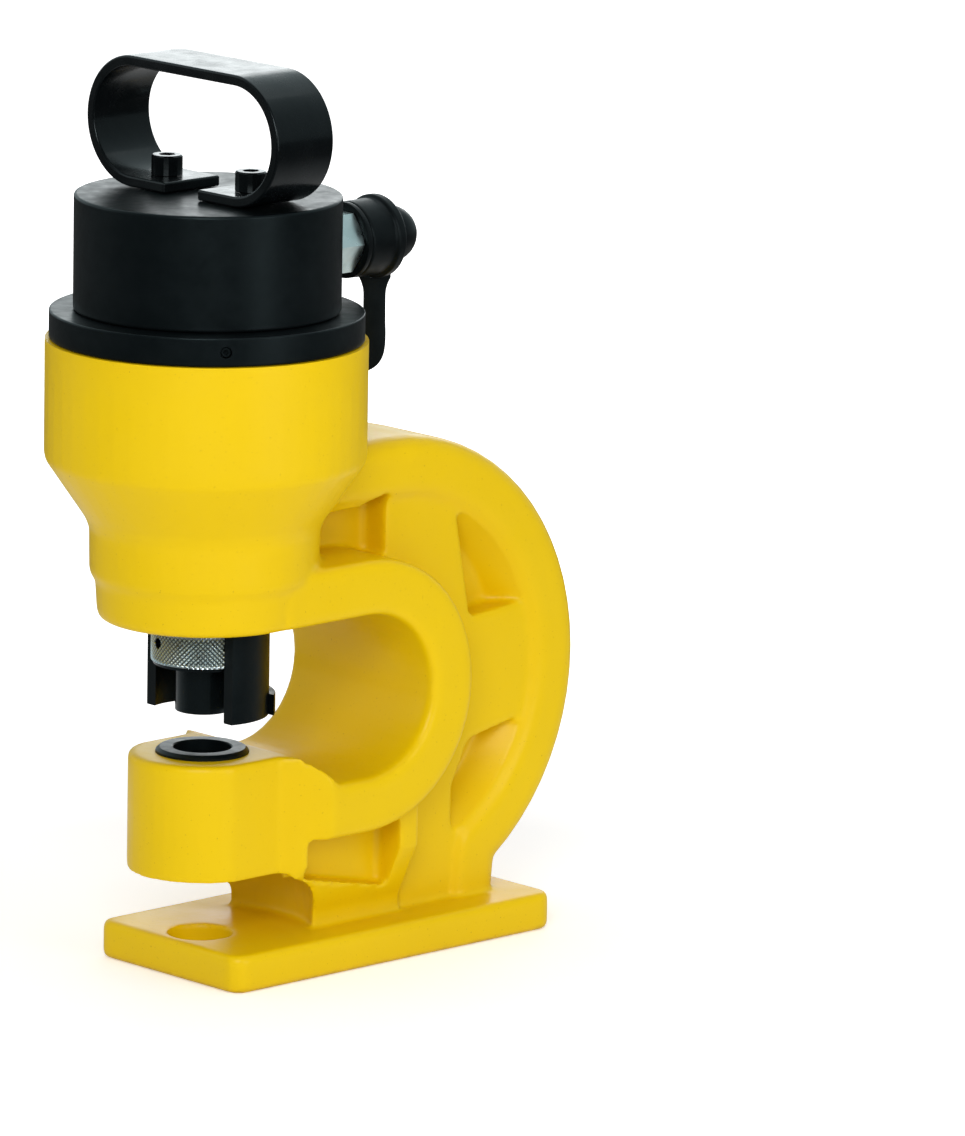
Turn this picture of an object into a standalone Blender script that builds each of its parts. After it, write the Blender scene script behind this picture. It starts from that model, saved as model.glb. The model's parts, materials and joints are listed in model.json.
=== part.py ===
"""Bench hydraulic hole punch with a cast C frame. Metres, +Z up, the throat opens toward -Y.

The origin is the centre of the base plate's underside. Every height below is measured from that
underside, and every front-to-back place (y) from the ram's axis, which an empty carries.
"""

import math

import bmesh
import bpy
from mathutils import Matrix, Vector

# Shared clearances and drawing helpers
gap = 0.0003
overrun = 0.002
merge_distance = 0.00001
round_steps = 44
inner_round_steps = 32
small_round_steps = 20

# Base plate
base_length = 0.2232
base_width = 0.1084
base_thickness = 0.01975
base_front_reach = 0.0232
base_corner_radius = 0.009
base_edge_radius = 0.0025
base_hole_radius = 0.0165

# C-shaped flange round the throat
flange_half_width = 0.0550
throat_depth = 0.1105
throat_radius = 0.0424
throat_roof_rise = 0.0004
flange_band = 0.0290
flange_edge_radius = 0.0045
jaw_slope_start = 0.0285
jaw_slope_end = 0.0480
lower_arm_front = 0.0170
upper_arm_front = 0.0060

# Web with its rim, ribs and pockets
rim_centre_y = 0.1070
rim_centre_height = 0.1402
rim_outer_radius = 0.1283
rim_band_width = 0.0328
rim_half_width = 0.0320
rim_edge_radius = 0.0090
rim_foot_angle = math.radians(-54.5)
rim_foot_inset = 0.0045
rim_root_depth = 0.0100
rib_half_width = 0.0280
web_half_width = 0.0120
web_front = 0.0340
column_front = 0.0995
column_back = 0.1500
spoke_low = 0.1090
spoke_high = 0.1640
spoke_lift = 0.0070
column_flare = 0.0110
upper_pocket_front = 0.0540
upper_pocket_drop = 0.0012
pocket_corner_radius = 0.0060
pocket_floor_height = 0.1960

# Pedestal that joins the lower jaw to the base plate
pedestal_front = 0.0200
pedestal_back = 0.1100
pedestal_foot_half_width = 0.0315
pedestal_top_half_width = 0.0455
pedestal_foot_height = 0.0280
pedestal_shoulder_height = 0.0570
pedestal_top_height = 0.0800
side_pocket_front = 0.0330
side_pocket_back = 0.0970
side_pocket_low = 0.0500
side_pocket_fall = 0.0140
side_pocket_high = 0.0740
side_pocket_floor = 0.0270

# Clearance hollow under the lower jaw, above the base hole
hollow_radius = 0.0580
hollow_straight_height = 0.0340
hollow_top_radius = 0.0400

# Lower jaw
jaw_bottom = 0.0540
jaw_top = 0.1147
jaw_nose_radius = 0.0380
jaw_flat_half_width = 0.0365
jaw_rear_half_width = 0.0395
jaw_flat_front = -0.0110
jaw_flare_y = 0.0205
jaw_flare_end_y = 0.0410
jaw_rear_y = 0.0290
jaw_root = 0.0420

# Upper jaw and cylinder cup, turned about the ram's axis
nose_bottom = 0.1845
nose_radius = 0.0545
nose_draft = 0.0010
nose_edge_radius = 0.0040
nose_top = 0.2040
step_height = 0.0050
neck_radius = 0.0588
neck_top = 0.2345
cup_wall = 0.0217
cup_bottom = 0.2635
cup_edge_radius = 0.0060
cup_top = 0.3288

# Bores through the cup, from the top down
head_skirt_wall = 0.0203
head_seat_bottom = 0.3000
cylinder_radius = 0.0400
cylinder_floor = 0.2620
bush_seat_radius = 0.0275
bush_seat_bottom = 0.2230
rod_bore_radius = 0.0240
wiper_groove_radius = 0.0262
wiper_groove_low = 0.2060
wiper_groove_high = 0.2125
stripper_seat_top = 0.1990

# Cylinder head, lock ring and its screw
head_shoulder = 0.0076
head_top = 0.4028
head_edge = 0.0012
head_ceiling = 0.3785
ring_setback = 0.0020
ring_bottom = 0.3291
ring_top = 0.3437
ring_edge = 0.0008
ring_screw_radius = 0.0030
ring_screw_azimuth = math.radians(-35.0)
ring_screw_inset = 0.0010
ring_screw_length = 0.0100
o_ring_groove_depth = 0.0034
o_ring_height = 0.0040
o_ring_low = 0.3090

# Carrying handle: a flat strip bent to an oval loop, open under the middle
handle_width = 0.0380
handle_thickness = 0.0055
handle_half_length = 0.0720
handle_height = 0.0670
handle_gap_half = 0.0125
handle_screw_x = 0.0316
handle_edge = 0.0008
screw_head_radius = 0.0080
screw_head_height = 0.0100
screw_shank_radius = 0.0050
screw_depth = 0.0170
screw_socket_depth = 0.0050
screw_edge = 0.0007
socket_share = 0.57
socket_depth_share = 0.6
set_screw_edge_share = 0.2

# Piston and ram
piston_top = 0.3640
piston_bottom = 0.3360
ram_radius = 0.0220
ram_bottom = 0.1820
ram_spigot_radius = 0.0120
ram_spigot_height = 0.0180
piston_screw_head_radius = 0.0140
piston_screw_head_height = 0.0040
piston_screw_radius = 0.0060
piston_screw_length = 0.0220
piston_recess_depth = 0.0060
seal_low = 0.3520
seal_height = 0.0070
seal_depth = 0.0060
wear_ring_low = 0.3410
wear_ring_height = 0.0060
wear_ring_depth = 0.0025

# Return spring round the ram, under the piston
spring_radius = 0.0310
spring_wire = 0.0033
spring_turns = 5.5
spring_points_per_turn = 14

# Guide bush and wiper
bush_height = 0.0360
bush_flange_radius = 0.0330
bush_flange_height = 0.0030

# Knurled nut and punch
nut_radius = 0.0268
nut_bottom = 0.1614
nut_height = 0.0366
nut_edge = 0.0012
nut_lip = 0.0100
tommy_hole_radius = 0.0029
tommy_hole_depth = 0.0030
tommy_hole_count = 4
tommy_hole_height = 0.0120
tommy_hole_turn = math.radians(-103.0)
punch_radius = 0.0142
punch_bottom = 0.1366
punch_pip_radius = 0.0009
punch_pip_height = 0.0012
foot_root = 0.0012
punch_pip_base = 0.0026
punch_edge = 0.0004

# Die and its set screw
die_top = 0.1173
die_radius = 0.0238
die_rim_radius = 0.0222
die_rim_depth = 0.0016
die_height = 0.0253
die_hole_radius = 0.0150
die_relief_radius = 0.0165
die_land = 0.0060
slug_hole_radius = 0.0172
die_screw_radius = 0.0040
die_screw_height = 0.1020
die_screw_length = 0.0110

# Stripper: a sleeve cut open at the front
stripper_bottom = 0.1350
stripper_outer_radius = 0.0338
stripper_inner_radius = 0.0276
stripper_front = -0.0091
stripper_top = 0.1985
stripper_foot_radius = 0.0370
stripper_foot_height = 0.0110
stripper_foot_front = 0.0220
stripper_screw_radius = 0.0030
stripper_screw_height = 0.1925
stripper_screw_length = 0.0160

# Oil coupler, pointing to the back
coupler_height = 0.3690
spotface_depth = 0.0021
spotface_radius = 0.0165
washer_radius = 0.0150
washer_thickness = 0.0018
adapter_thread_radius = 0.0098
adapter_thread_reach = 0.0180
oil_way_radius = 0.0035
hex_across_corners = 0.0350
hex_reach = 0.0246
hex_edge = 0.0016
adapter_neck_radius = 0.0150
adapter_neck_length = 0.0033
adapter_stub_radius = 0.0085
adapter_stub_length = 0.0110
body_radius = 0.0132
body_nose_radius = 0.0118
body_shoulder_length = 0.0160
body_length = 0.0306
body_chamber_radius = 0.0072
body_mouth_radius = 0.0045
body_lip = 0.0060
poppet_head_length = 0.0040
poppet_stem_radius = 0.0040
poppet_stem_length = 0.0052
poppet_travel = 0.0030
valve_spring_radius = 0.0052
valve_spring_wire = 0.0005
valve_spring_turns = 3.0
valve_spring_points_per_turn = 10

# Rubber dust cap and its strap
cap_length = 0.0430
cap_skirt_radius = 0.0198
cap_cavity_radius = 0.0140
cap_end_clearance = 0.0015
cap_disc_place = 0.0167
cap_disc_thickness = 0.0050
cap_disc_radius = 0.0216
cap_dome_radius = 0.0148
cap_edge = 0.0014
strap_width = 0.0112
strap_thickness = 0.0026
tether_inner_radius = 0.0153
tether_outer_radius = 0.0197
tether_thickness = 0.0026
strap_drop = 0.0650
tether_tab_radius = 0.0222
tether_tab_angle = math.radians(41)

# Strap's route: along from the disc to the ring's tab, and up from its lowest place to the disc
strap_route_shares = (
    (0.0, 1.0),
    (0.0, 0.5),
    (-0.02, 0.26),
    (0.02, 0.06),
    (0.22, -0.02),
    (0.62, -0.02),
    (0.98, 0.06),
    (1.06, 0.30),
)

# Colours: red, green, blue, roughness, metallic
finishes = {
    "yellow_paint": (0.76, 0.56, 0.010, 0.30, 0.0),
    "black_steel": (0.012, 0.016, 0.020, 0.32, 0.6),
    "black_gloss": (0.006, 0.008, 0.010, 0.16, 0.0),
    "bright_steel": (0.45, 0.48, 0.48, 0.30, 1.0),
    "zinc_plate": (0.56, 0.62, 0.60, 0.28, 1.0),
    "spring_steel": (0.20, 0.21, 0.22, 0.35, 1.0),
    "bronze": (0.50, 0.30, 0.11, 0.35, 1.0),
    "black_rubber": (0.012, 0.013, 0.014, 0.60, 0.0),
    "seal_rubber": (0.030, 0.035, 0.045, 0.50, 0.0),
}

ram_y = base_front_reach - base_length / 2
rim_inner_radius = rim_outer_radius - rim_band_width
head_seat_radius = cylinder_radius + head_skirt_wall
cup_radius = head_seat_radius + cup_wall
head_radius = head_seat_radius + head_shoulder
ring_radius = cup_radius - ring_setback
spotface_y = head_radius - spotface_depth
hex_end = head_radius + hex_reach
adapter_end = hex_end + adapter_neck_length
adapter_stub_end = adapter_end + adapter_stub_length
body_start = adapter_end + gap
body_shoulder_y = body_start + body_shoulder_length
body_end = body_start + body_length
cap_start = adapter_end + gap
cap_tip = cap_start + cap_length
cap_cavity_end = body_end + cap_end_clearance
cap_disc_start = cap_start + cap_disc_place
cap_disc_end = cap_disc_start + cap_disc_thickness
tether_start = hex_end + gap
throat_centre_y = throat_depth - throat_radius
throat_centre_height = nose_bottom + throat_roof_rise - throat_radius


def clear_scene():
    for obj in list(bpy.data.objects):
        bpy.data.objects.remove(obj, do_unlink=True)


def new_collection(name):
    collection = bpy.data.collections.new(name)
    bpy.context.scene.collection.children.link(collection)
    return collection


def make_material(name):
    red, green, blue, roughness, metallic = finishes[name]
    material = bpy.data.materials.new(name)
    material.use_nodes = True
    shader = material.node_tree.nodes["Principled BSDF"]
    shader.inputs["Base Color"].default_value = (red, green, blue, 1.0)
    shader.inputs["Roughness"].default_value = roughness
    shader.inputs["Metallic"].default_value = metallic
    return material


clear_scene()
parts = new_collection("hydraulic_hole_punch")
cutters = new_collection("cutters")
materials = {name: make_material(name) for name in finishes}
ram_axis = bpy.data.objects.new("ram_axis", None)
ram_axis.location = (0.0, ram_y, 0.0)
parts.objects.link(ram_axis)

along_x = Matrix(((0, 0, 1, 0), (1, 0, 0, 0), (0, 1, 0, 0), (0, 0, 0, 1)))
along_y = Matrix(((1, 0, 0, 0), (0, 0, 1, 0), (0, -1, 0, 0), (0, 0, 0, 1)))
across_y = Matrix(((1, 0, 0, 0), (0, 0, -1, 0), (0, 1, 0, 0), (0, 0, 0, 1)))
upright = Matrix.Identity(4)


def place(obj, matrix=upright, finish=None):
    """A part with a finish, or a cutter without one, hung on the ram's axis."""
    obj.parent = ram_axis
    obj.matrix_basis = matrix
    if finish is None:
        cutters.objects.link(obj)
        obj.hide_render = True
        obj.display_type = "WIRE"
    else:
        parts.objects.link(obj)
        obj.data.materials.clear()
        obj.data.materials.append(materials[finish])
        obj.data.shade_smooth()
        obj.data.set_sharp_from_angle(angle=math.radians(35))
    return obj


def arc(centre, radius, start, end, count):
    """Points on a circle from one angle in degrees to another, both ends included."""
    angles = [math.radians(start + (end - start) * i / count) for i in range(count + 1)]
    return [(centre[0] + radius * math.cos(a), centre[1] + radius * math.sin(a)) for a in angles]


def turned(name, profile, matrix=upright, finish=None, ring=False, steps=round_steps):
    """Turns (radius, height) points, which run down the outer side, about the local Z axis."""
    mesh = bpy.data.meshes.new(name)
    count = len(profile)
    edges = [(i, i + 1) for i in range(count - 1)]
    if ring:
        edges.append((count - 1, 0))
    mesh.from_pydata([(radius, 0.0, height) for radius, height in profile], edges, [])
    obj = place(bpy.data.objects.new(name, mesh), matrix, finish)
    screw = obj.modifiers.new("turn", "SCREW")
    screw.steps = screw.render_steps = steps
    screw.use_merge_vertices = True
    screw.merge_threshold = merge_distance
    return obj


def prism(name, outlines, low, high, matrix=upright, finish=None):
    """Extrudes flat outlines, the first outside and any others holes, between two offsets."""
    curve = bpy.data.curves.new(name, "CURVE")
    curve.dimensions = "2D"
    curve.fill_mode = "BOTH"
    curve.extrude = (high - low) / 2
    for outline in outlines:
        spline = curve.splines.new("POLY")
        spline.points.add(len(outline) - 1)
        for point, (x, y) in zip(spline.points, outline):
            point.co = (x, y, 0.0, 1.0)
        spline.use_cyclic_u = True
    holder = bpy.data.objects.new(name, curve)
    cutters.objects.link(holder)
    bpy.context.view_layer.update()
    graph = bpy.context.evaluated_depsgraph_get()
    mesh = bpy.data.meshes.new_from_object(holder.evaluated_get(graph))
    mesh.name = name
    bpy.data.objects.remove(holder, do_unlink=True)
    shape = bmesh.new()
    shape.from_mesh(mesh)
    bmesh.ops.remove_doubles(shape, verts=shape.verts, dist=merge_distance)
    if len(outlines) == 1:
        bmesh.ops.dissolve_limit(shape, angle_limit=math.radians(0.1), verts=shape.verts, edges=shape.edges)
    bmesh.ops.recalc_face_normals(shape, faces=shape.faces)
    shape.to_mesh(mesh)
    shape.free()
    middle = Matrix.Translation((0.0, 0.0, (low + high) / 2))
    return place(bpy.data.objects.new(name, mesh), matrix @ middle, finish)


def rod(name, radius, low, high, matrix=upright, steps=round_steps, finish=None):
    """A plain cylinder between two offsets along the local Z axis."""
    mesh = bpy.data.meshes.new(name)
    shape = bmesh.new()
    bmesh.ops.create_cone(
        shape, cap_ends=True, segments=steps, radius1=radius, radius2=radius, depth=high - low
    )
    shape.to_mesh(mesh)
    shape.free()
    middle = Matrix.Translation((0.0, 0.0, (low + high) / 2))
    return place(bpy.data.objects.new(name, mesh), matrix @ middle, finish)


def block(name, low, high, matrix=upright):
    """A box cutter between two corners."""
    mesh = bpy.data.meshes.new(name)
    shape = bmesh.new()
    bmesh.ops.create_cube(shape, size=1.0)
    size = Vector(high) - Vector(low)
    centre = (Vector(high) + Vector(low)) / 2
    bmesh.ops.scale(shape, vec=size, verts=shape.verts)
    bmesh.ops.translate(shape, vec=centre, verts=shape.verts)
    shape.to_mesh(mesh)
    shape.free()
    return place(bpy.data.objects.new(name, mesh), matrix)


def rounded(obj, width, segments=2, angle=50):
    """Rounds the edges that turn by more than an angle in degrees."""
    bevel = obj.modifiers.new("round", "BEVEL")
    bevel.width = width
    bevel.segments = segments
    bevel.limit_method = "ANGLE"
    bevel.angle_limit = math.radians(angle)
    return obj


def cut(obj, *tools):
    for tool in tools:
        boolean = obj.modifiers.new(tool.name, "BOOLEAN")
        boolean.operation = "DIFFERENCE"
        boolean.solver = "EXACT"
        boolean.object = tool
    return obj


def join(obj, *others):
    for other in others:
        boolean = obj.modifiers.new(other.name, "BOOLEAN")
        boolean.operation = "UNION"
        boolean.solver = "EXACT"
        boolean.object = other
    return obj


def radial(angle, height):
    """Points the local Z axis out from the ram's axis at an azimuth and a height."""
    lift = Matrix.Translation((0.0, 0.0, height))
    return lift @ Matrix.Rotation(angle, 4, "Z") @ Matrix.Rotation(math.radians(90), 4, "Y")


def coil(name, radius, wire, low, high, turns, finish, points_per_turn, matrix=upright):
    """A compression spring, as one tube along a helix."""
    curve = bpy.data.curves.new(name, "CURVE")
    curve.dimensions = "3D"
    curve.bevel_depth = wire
    curve.bevel_resolution = 1
    curve.use_fill_caps = True
    count = int(turns * points_per_turn)
    spline = curve.splines.new("POLY")
    spline.points.add(count)
    rise = high - low - 2 * wire
    for i, point in enumerate(spline.points):
        angle = 2 * math.pi * turns * i / count
        height = low + wire + rise * i / count
        point.co = (radius * math.cos(angle), radius * math.sin(angle), height, 1.0)
    return place_curve(name, curve, matrix, finish)


def place_curve(name, curve, matrix, finish):
    """Turns a curve into a closed mesh object."""
    holder = bpy.data.objects.new(name, curve)
    cutters.objects.link(holder)
    bpy.context.view_layer.update()
    graph = bpy.context.evaluated_depsgraph_get()
    mesh = bpy.data.meshes.new_from_object(holder.evaluated_get(graph))
    mesh.name = name
    bpy.data.objects.remove(holder, do_unlink=True)
    shape = bmesh.new()
    shape.from_mesh(mesh)
    bmesh.ops.remove_doubles(shape, verts=shape.verts, dist=merge_distance)
    bmesh.ops.recalc_face_normals(shape, faces=shape.faces)
    shape.to_mesh(mesh)
    shape.free()
    return place(bpy.data.objects.new(name, mesh), matrix, finish)


def mirrored(points):
    """A half outline at +x, then the same points at -x in reverse."""
    return points + [(-x, y) for x, y in reversed(points)]


def base_plate():
    """The plate that the frame is cast on, with its hole under the ram."""
    half = base_width / 2
    front = -base_front_reach
    back = base_length - base_front_reach
    radius = base_corner_radius
    right = arc((half - radius, front + radius), radius, -90, 0, 5)
    right += arc((half - radius, back - radius), radius, 0, 90, 5)
    plate = prism("c_frame", [mirrored(right)], 0.0, base_thickness, finish="yellow_paint")
    top_round = plate.modifiers.new("round", "BEVEL")
    top_round.width = base_edge_radius
    top_round.segments = 2
    top_round.limit_method = "ANGLE"
    top_round.angle_limit = math.radians(50)
    return plate


def flange():
    """The C-shaped band round the throat, with the slope up to the lower jaw's seat."""
    centre = (throat_centre_y, throat_centre_height)
    outer_radius = throat_radius + flange_band
    throat_floor = throat_centre_height - throat_radius
    outline = [(upper_arm_front, nose_bottom)]
    outline += arc(centre, throat_radius, 90, -90, 18)
    outline += [(jaw_slope_end, throat_floor)]
    slope_middle = (jaw_slope_start + jaw_slope_end) / 2
    outline += [(slope_middle, (throat_floor + jaw_top) / 2), (jaw_slope_start, jaw_top - gap)]
    outline += [(lower_arm_front, jaw_top - gap)]
    outline += [(lower_arm_front, throat_centre_height - outer_radius)]
    outline += arc(centre, outer_radius, -90, 90, 22)
    outline += [(upper_arm_front, throat_centre_height + outer_radius)]
    band = prism("flange_band", [outline], -flange_half_width, flange_half_width, along_x)
    rounded(band, flange_edge_radius, 3)
    return cut(band, *flare_cuts("flange", jaw_bottom))


def flare_cuts(name, low):
    """Cutters for the two slanting faces between the jaw's flats and the flange."""
    turn = math.atan2(jaw_flare_end_y - jaw_flare_y, flange_half_width - jaw_flat_half_width)
    made = []
    for side in (-1, 1):
        corner = Matrix.Translation((side * jaw_flat_half_width, jaw_flare_y, 0.0))
        made.append(block(
            f"{name}_flare_{side + 1}",
            (-flange_half_width, -flange_half_width, low),
            (flange_half_width, 0.0, throat_centre_height),
            corner @ Matrix.Rotation(side * turn, 4, "Z"),
        ))
    return made


def web_outline(inner):
    """The side view of the web, which ends inside the rim: a circle, a level run to the cup, and the foot."""
    centre = (rim_centre_y, rim_centre_height)
    outer_radius = rim_outer_radius - rim_band_width / 2
    top = rim_centre_height + outer_radius
    mid_radius = throat_radius + inner
    foot = math.degrees(rim_foot_angle)
    points = [(web_front, rim_root_depth), (web_front, throat_centre_height - mid_radius)]
    points += arc((throat_centre_y, throat_centre_height), mid_radius, -90, 90, 16)
    points += [(upper_arm_front, throat_centre_height + mid_radius), (upper_arm_front, top)]
    points += arc(centre, outer_radius, 90, foot, 26)
    points += [(points[-1][0], rim_root_depth)]
    return points


def rim():
    """The proud, rounded outer band of the web."""
    centre = (rim_centre_y, rim_centre_height)
    foot = math.degrees(rim_foot_angle)
    inner_foot = -math.degrees(math.acos((column_back - rim_centre_y) / rim_inner_radius))
    foot_low = -rim_edge_radius - overrun
    outline = arc(centre, rim_outer_radius, 90, foot, 26)
    outline += [(outline[-1][0] - rim_foot_inset, foot_low)]
    outline += [(column_back - pocket_corner_radius, foot_low)]
    outline += arc(centre, rim_inner_radius, inner_foot, 90, 22)
    outline += [(upper_arm_front, rim_centre_height + rim_inner_radius)]
    outline += [(upper_arm_front, rim_centre_height + rim_outer_radius)]
    band = prism("rim_band", [outline], -rim_half_width, rim_half_width, along_x)
    rounded(band, rim_edge_radius, 3)
    low = (-base_width, -base_length, -base_width)
    below = block("rim_foot_trim", low, (base_width, base_length, rim_root_depth))
    return cut(band, below)


def pocket(name, outline, floor, outside):
    """A pair of tapered pocket cutters, one for each side of the web."""
    made = []
    for side in (-1, 1):
        near = side * floor
        far = side * (outside + overrun)
        tool = prism(f"{name}_{side + 1}", [outline], min(near, far), max(near, far), along_x)
        made.append(rounded(tool, pocket_corner_radius / 2, 2, 40))
    return made


def pockets():
    """The four hollows between the rim, the column, the spoke and the flange."""
    rim_centre = (rim_centre_y, rim_centre_height)
    pocket_roof = rim_centre_height + rim_inner_radius
    upper_front = [
        (upper_pocket_front, pocket_floor_height),
        (column_front, pocket_floor_height),
        (column_front, pocket_roof),
        (upper_pocket_front, pocket_roof - upper_pocket_drop),
    ]
    angle_high = math.degrees(math.asin((spoke_high + spoke_lift - rim_centre_height) / rim_inner_radius))
    angle_column = math.degrees(math.acos((column_back - rim_centre_y) / rim_inner_radius))
    upper_back = arc(rim_centre, rim_inner_radius, angle_high, angle_column, 8)
    upper_back += [(column_back + column_flare, spoke_high + spoke_lift / 2)]
    angle_low = math.degrees(math.asin((spoke_low - rim_centre_height) / rim_inner_radius))
    lower_back = arc(rim_centre, rim_inner_radius, -angle_column, angle_low, 8)
    lower_back += [(column_back + column_flare, spoke_low - spoke_lift)]
    lower_back += [(column_back, (lower_back[0][1] + spoke_low - spoke_lift) / 2)]
    made = pocket("upper_front_pocket", upper_front, web_half_width, flange_half_width)
    made += pocket("upper_back_pocket", upper_back, web_half_width, flange_half_width)
    made += pocket("lower_back_pocket", lower_back, web_half_width, flange_half_width)
    return made


def web():
    """The thick wall behind the throat, hollowed by pockets on both sides."""
    outline = web_outline(flange_band / 2)
    wall = prism("web_wall", [outline], -rib_half_width, rib_half_width, along_x)
    join(wall, rim())
    cut(wall, *pockets())
    return wall


def pedestal():
    """The tapered foot under the lower jaw, with a cast pocket in each side."""
    half = [
        (pedestal_foot_half_width, rim_root_depth),
        (pedestal_foot_half_width, pedestal_foot_height),
        (pedestal_top_half_width, pedestal_shoulder_height),
        (pedestal_top_half_width, pedestal_top_height),
    ]
    foot = prism("pedestal", [mirrored(half)], -pedestal_back, -pedestal_front, across_y)
    outline = [
        (side_pocket_front, side_pocket_low),
        (side_pocket_back, side_pocket_low - side_pocket_fall),
        (side_pocket_back, side_pocket_high),
        (side_pocket_front, side_pocket_high),
    ]
    cut(foot, *flare_cuts("pedestal", base_thickness / 2))
    cut(foot, *pocket("side_pocket", outline, side_pocket_floor, pedestal_top_half_width))
    return foot


def lower_jaw():
    """The block that holds the die: a round nose with flats that widen to the back."""
    tilt = math.degrees(math.asin(jaw_flat_front / jaw_nose_radius))
    right = arc((0.0, 0.0), jaw_nose_radius, -90, tilt, 8)
    right += [(jaw_flat_half_width, jaw_flare_y), (jaw_rear_half_width, jaw_rear_y)]
    jaw = prism("lower_jaw", [mirrored(right)], jaw_root, jaw_top)
    return rounded(jaw, base_edge_radius / 2, 1)


def upper_body():
    """The upper jaw's nose, the stepped neck and the cylinder cup, as one turned shape."""
    edge = cup_edge_radius
    profile = [(0.0, cup_top), (cup_radius, cup_top)]
    profile += [(cup_radius - edge * (1 - math.cos(a)), cup_bottom + edge * (1 - math.sin(a)))
                for a in (0.0, math.pi / 8, math.pi / 4)]
    slope = (cup_radius - neck_radius) / (cup_bottom - neck_top)
    profile += [(neck_radius + slope * edge / 2, neck_top + edge / 2), (neck_radius, neck_top - edge / 2)]
    profile += [(neck_radius - gap, nose_top + step_height)]
    profile += [(nose_radius + nose_draft, nose_top), (nose_radius, nose_bottom + nose_edge_radius)]
    inset = nose_edge_radius * (1 - math.cos(math.pi / 4))
    profile += [(nose_radius - inset, nose_bottom + inset)]
    profile += [(nose_radius - nose_edge_radius, nose_bottom), (0.0, nose_bottom)]
    return turned("upper_body", profile, steps=52)


def frame_bores():
    """Everything bored into the frame about the ram's axis."""
    upper = [
        (0.0, cup_top + overrun),
        (head_seat_radius, cup_top + overrun),
        (head_seat_radius, head_seat_bottom),
        (cylinder_radius + gap, head_seat_bottom),
        (cylinder_radius + gap, cylinder_floor),
        (bush_flange_radius + gap, cylinder_floor),
        (bush_flange_radius + gap, cylinder_floor - bush_flange_height - gap),
        (bush_seat_radius, cylinder_floor - bush_flange_height - gap),
        (bush_seat_radius, bush_seat_bottom),
        (rod_bore_radius, bush_seat_bottom),
        (rod_bore_radius, wiper_groove_high),
        (wiper_groove_radius, wiper_groove_high),
        (wiper_groove_radius, wiper_groove_low),
        (rod_bore_radius, wiper_groove_low),
        (rod_bore_radius, stripper_seat_top),
        (stripper_outer_radius + gap, stripper_seat_top),
        (stripper_outer_radius + gap, nose_bottom - overrun),
        (0.0, nose_bottom - overrun),
    ]
    seat = die_top - die_height - gap
    lower = [
        (0.0, jaw_top + overrun),
        (die_radius + gap, jaw_top + overrun),
        (die_radius + gap, seat),
        (slug_hole_radius, seat),
        (slug_hole_radius, jaw_bottom - overrun),
        (0.0, jaw_bottom - overrun),
    ]
    hollow = [(0.0, jaw_bottom), (hollow_top_radius, jaw_bottom)]
    bend = hollow_radius - hollow_top_radius
    drop = jaw_bottom - hollow_straight_height
    hollow += [
        (hollow_top_radius + bend * math.sin(a), jaw_bottom - drop * (1 - math.cos(a)))
        for a in (math.pi / 8, math.pi / 4, 3 * math.pi / 8, math.pi / 2)
    ]
    hollow += [(hollow_radius, base_thickness), (0.0, base_thickness)]
    return [
        turned("upper_bores", upper),
        turned("lower_bores", lower, steps=40),
        turned("under_jaw_hollow", hollow, steps=40),
        rod("base_hole", base_hole_radius, -overrun, base_thickness + overrun, steps=40),
    ]


def side_screw_hole(name, radius, height, outer, inner):
    """A radial hole on the left side, for a set screw."""
    return rod(name, radius, inner, outer, radial(math.pi, height), small_round_steps)


def c_frame():
    plate = base_plate()
    join(plate, web(), pedestal(), flange(), lower_jaw(), upper_body())
    cut(plate, *frame_bores())
    cut(plate, side_screw_hole("die_screw_hole", die_screw_radius + gap, die_screw_height,
                               jaw_rear_half_width + overrun, slug_hole_radius))
    cut(plate, side_screw_hole("stripper_screw_hole", stripper_screw_radius + gap, stripper_screw_height,
                               nose_radius + overrun, stripper_inner_radius + overrun))
    return plate


def socket_screw(name, x, y, seat, head_radius, head_height, shank_radius, length, finish):
    """A socket-head cap screw standing on a seat, its hexagon socket open at the top."""
    profile = [
        (0.0, head_height),
        (head_radius - screw_edge, head_height),
        (head_radius, head_height - screw_edge),
        (head_radius, 0.0),
        (shank_radius, 0.0),
        (shank_radius, -length + screw_edge),
        (shank_radius - screw_edge, -length),
        (0.0, -length),
    ]
    here = Matrix.Translation((x, y, seat))
    screw = turned(name, profile, here, finish, steps=small_round_steps)
    depth = min(screw_socket_depth, head_height * socket_depth_share)
    socket = rod(f"{name}_socket", head_radius * socket_share, head_height - depth,
                 head_height + overrun, here, 6)
    return cut(screw, socket)


def set_screw(name, radius, length, start, matrix, finish="black_steel"):
    """A headless screw along the local Z axis, its socket at the far end."""
    edge = radius * set_screw_edge_share
    profile = [
        (0.0, start + length),
        (radius - edge, start + length),
        (radius, start + length - edge),
        (radius, start + edge),
        (radius - edge, start),
        (0.0, start),
    ]
    screw = turned(name, profile, matrix, finish, steps=small_round_steps)
    top = start + length
    return cut(screw, rod(f"{name}_socket", radius * socket_share, top - radius, top + overrun, matrix, 6))


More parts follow.
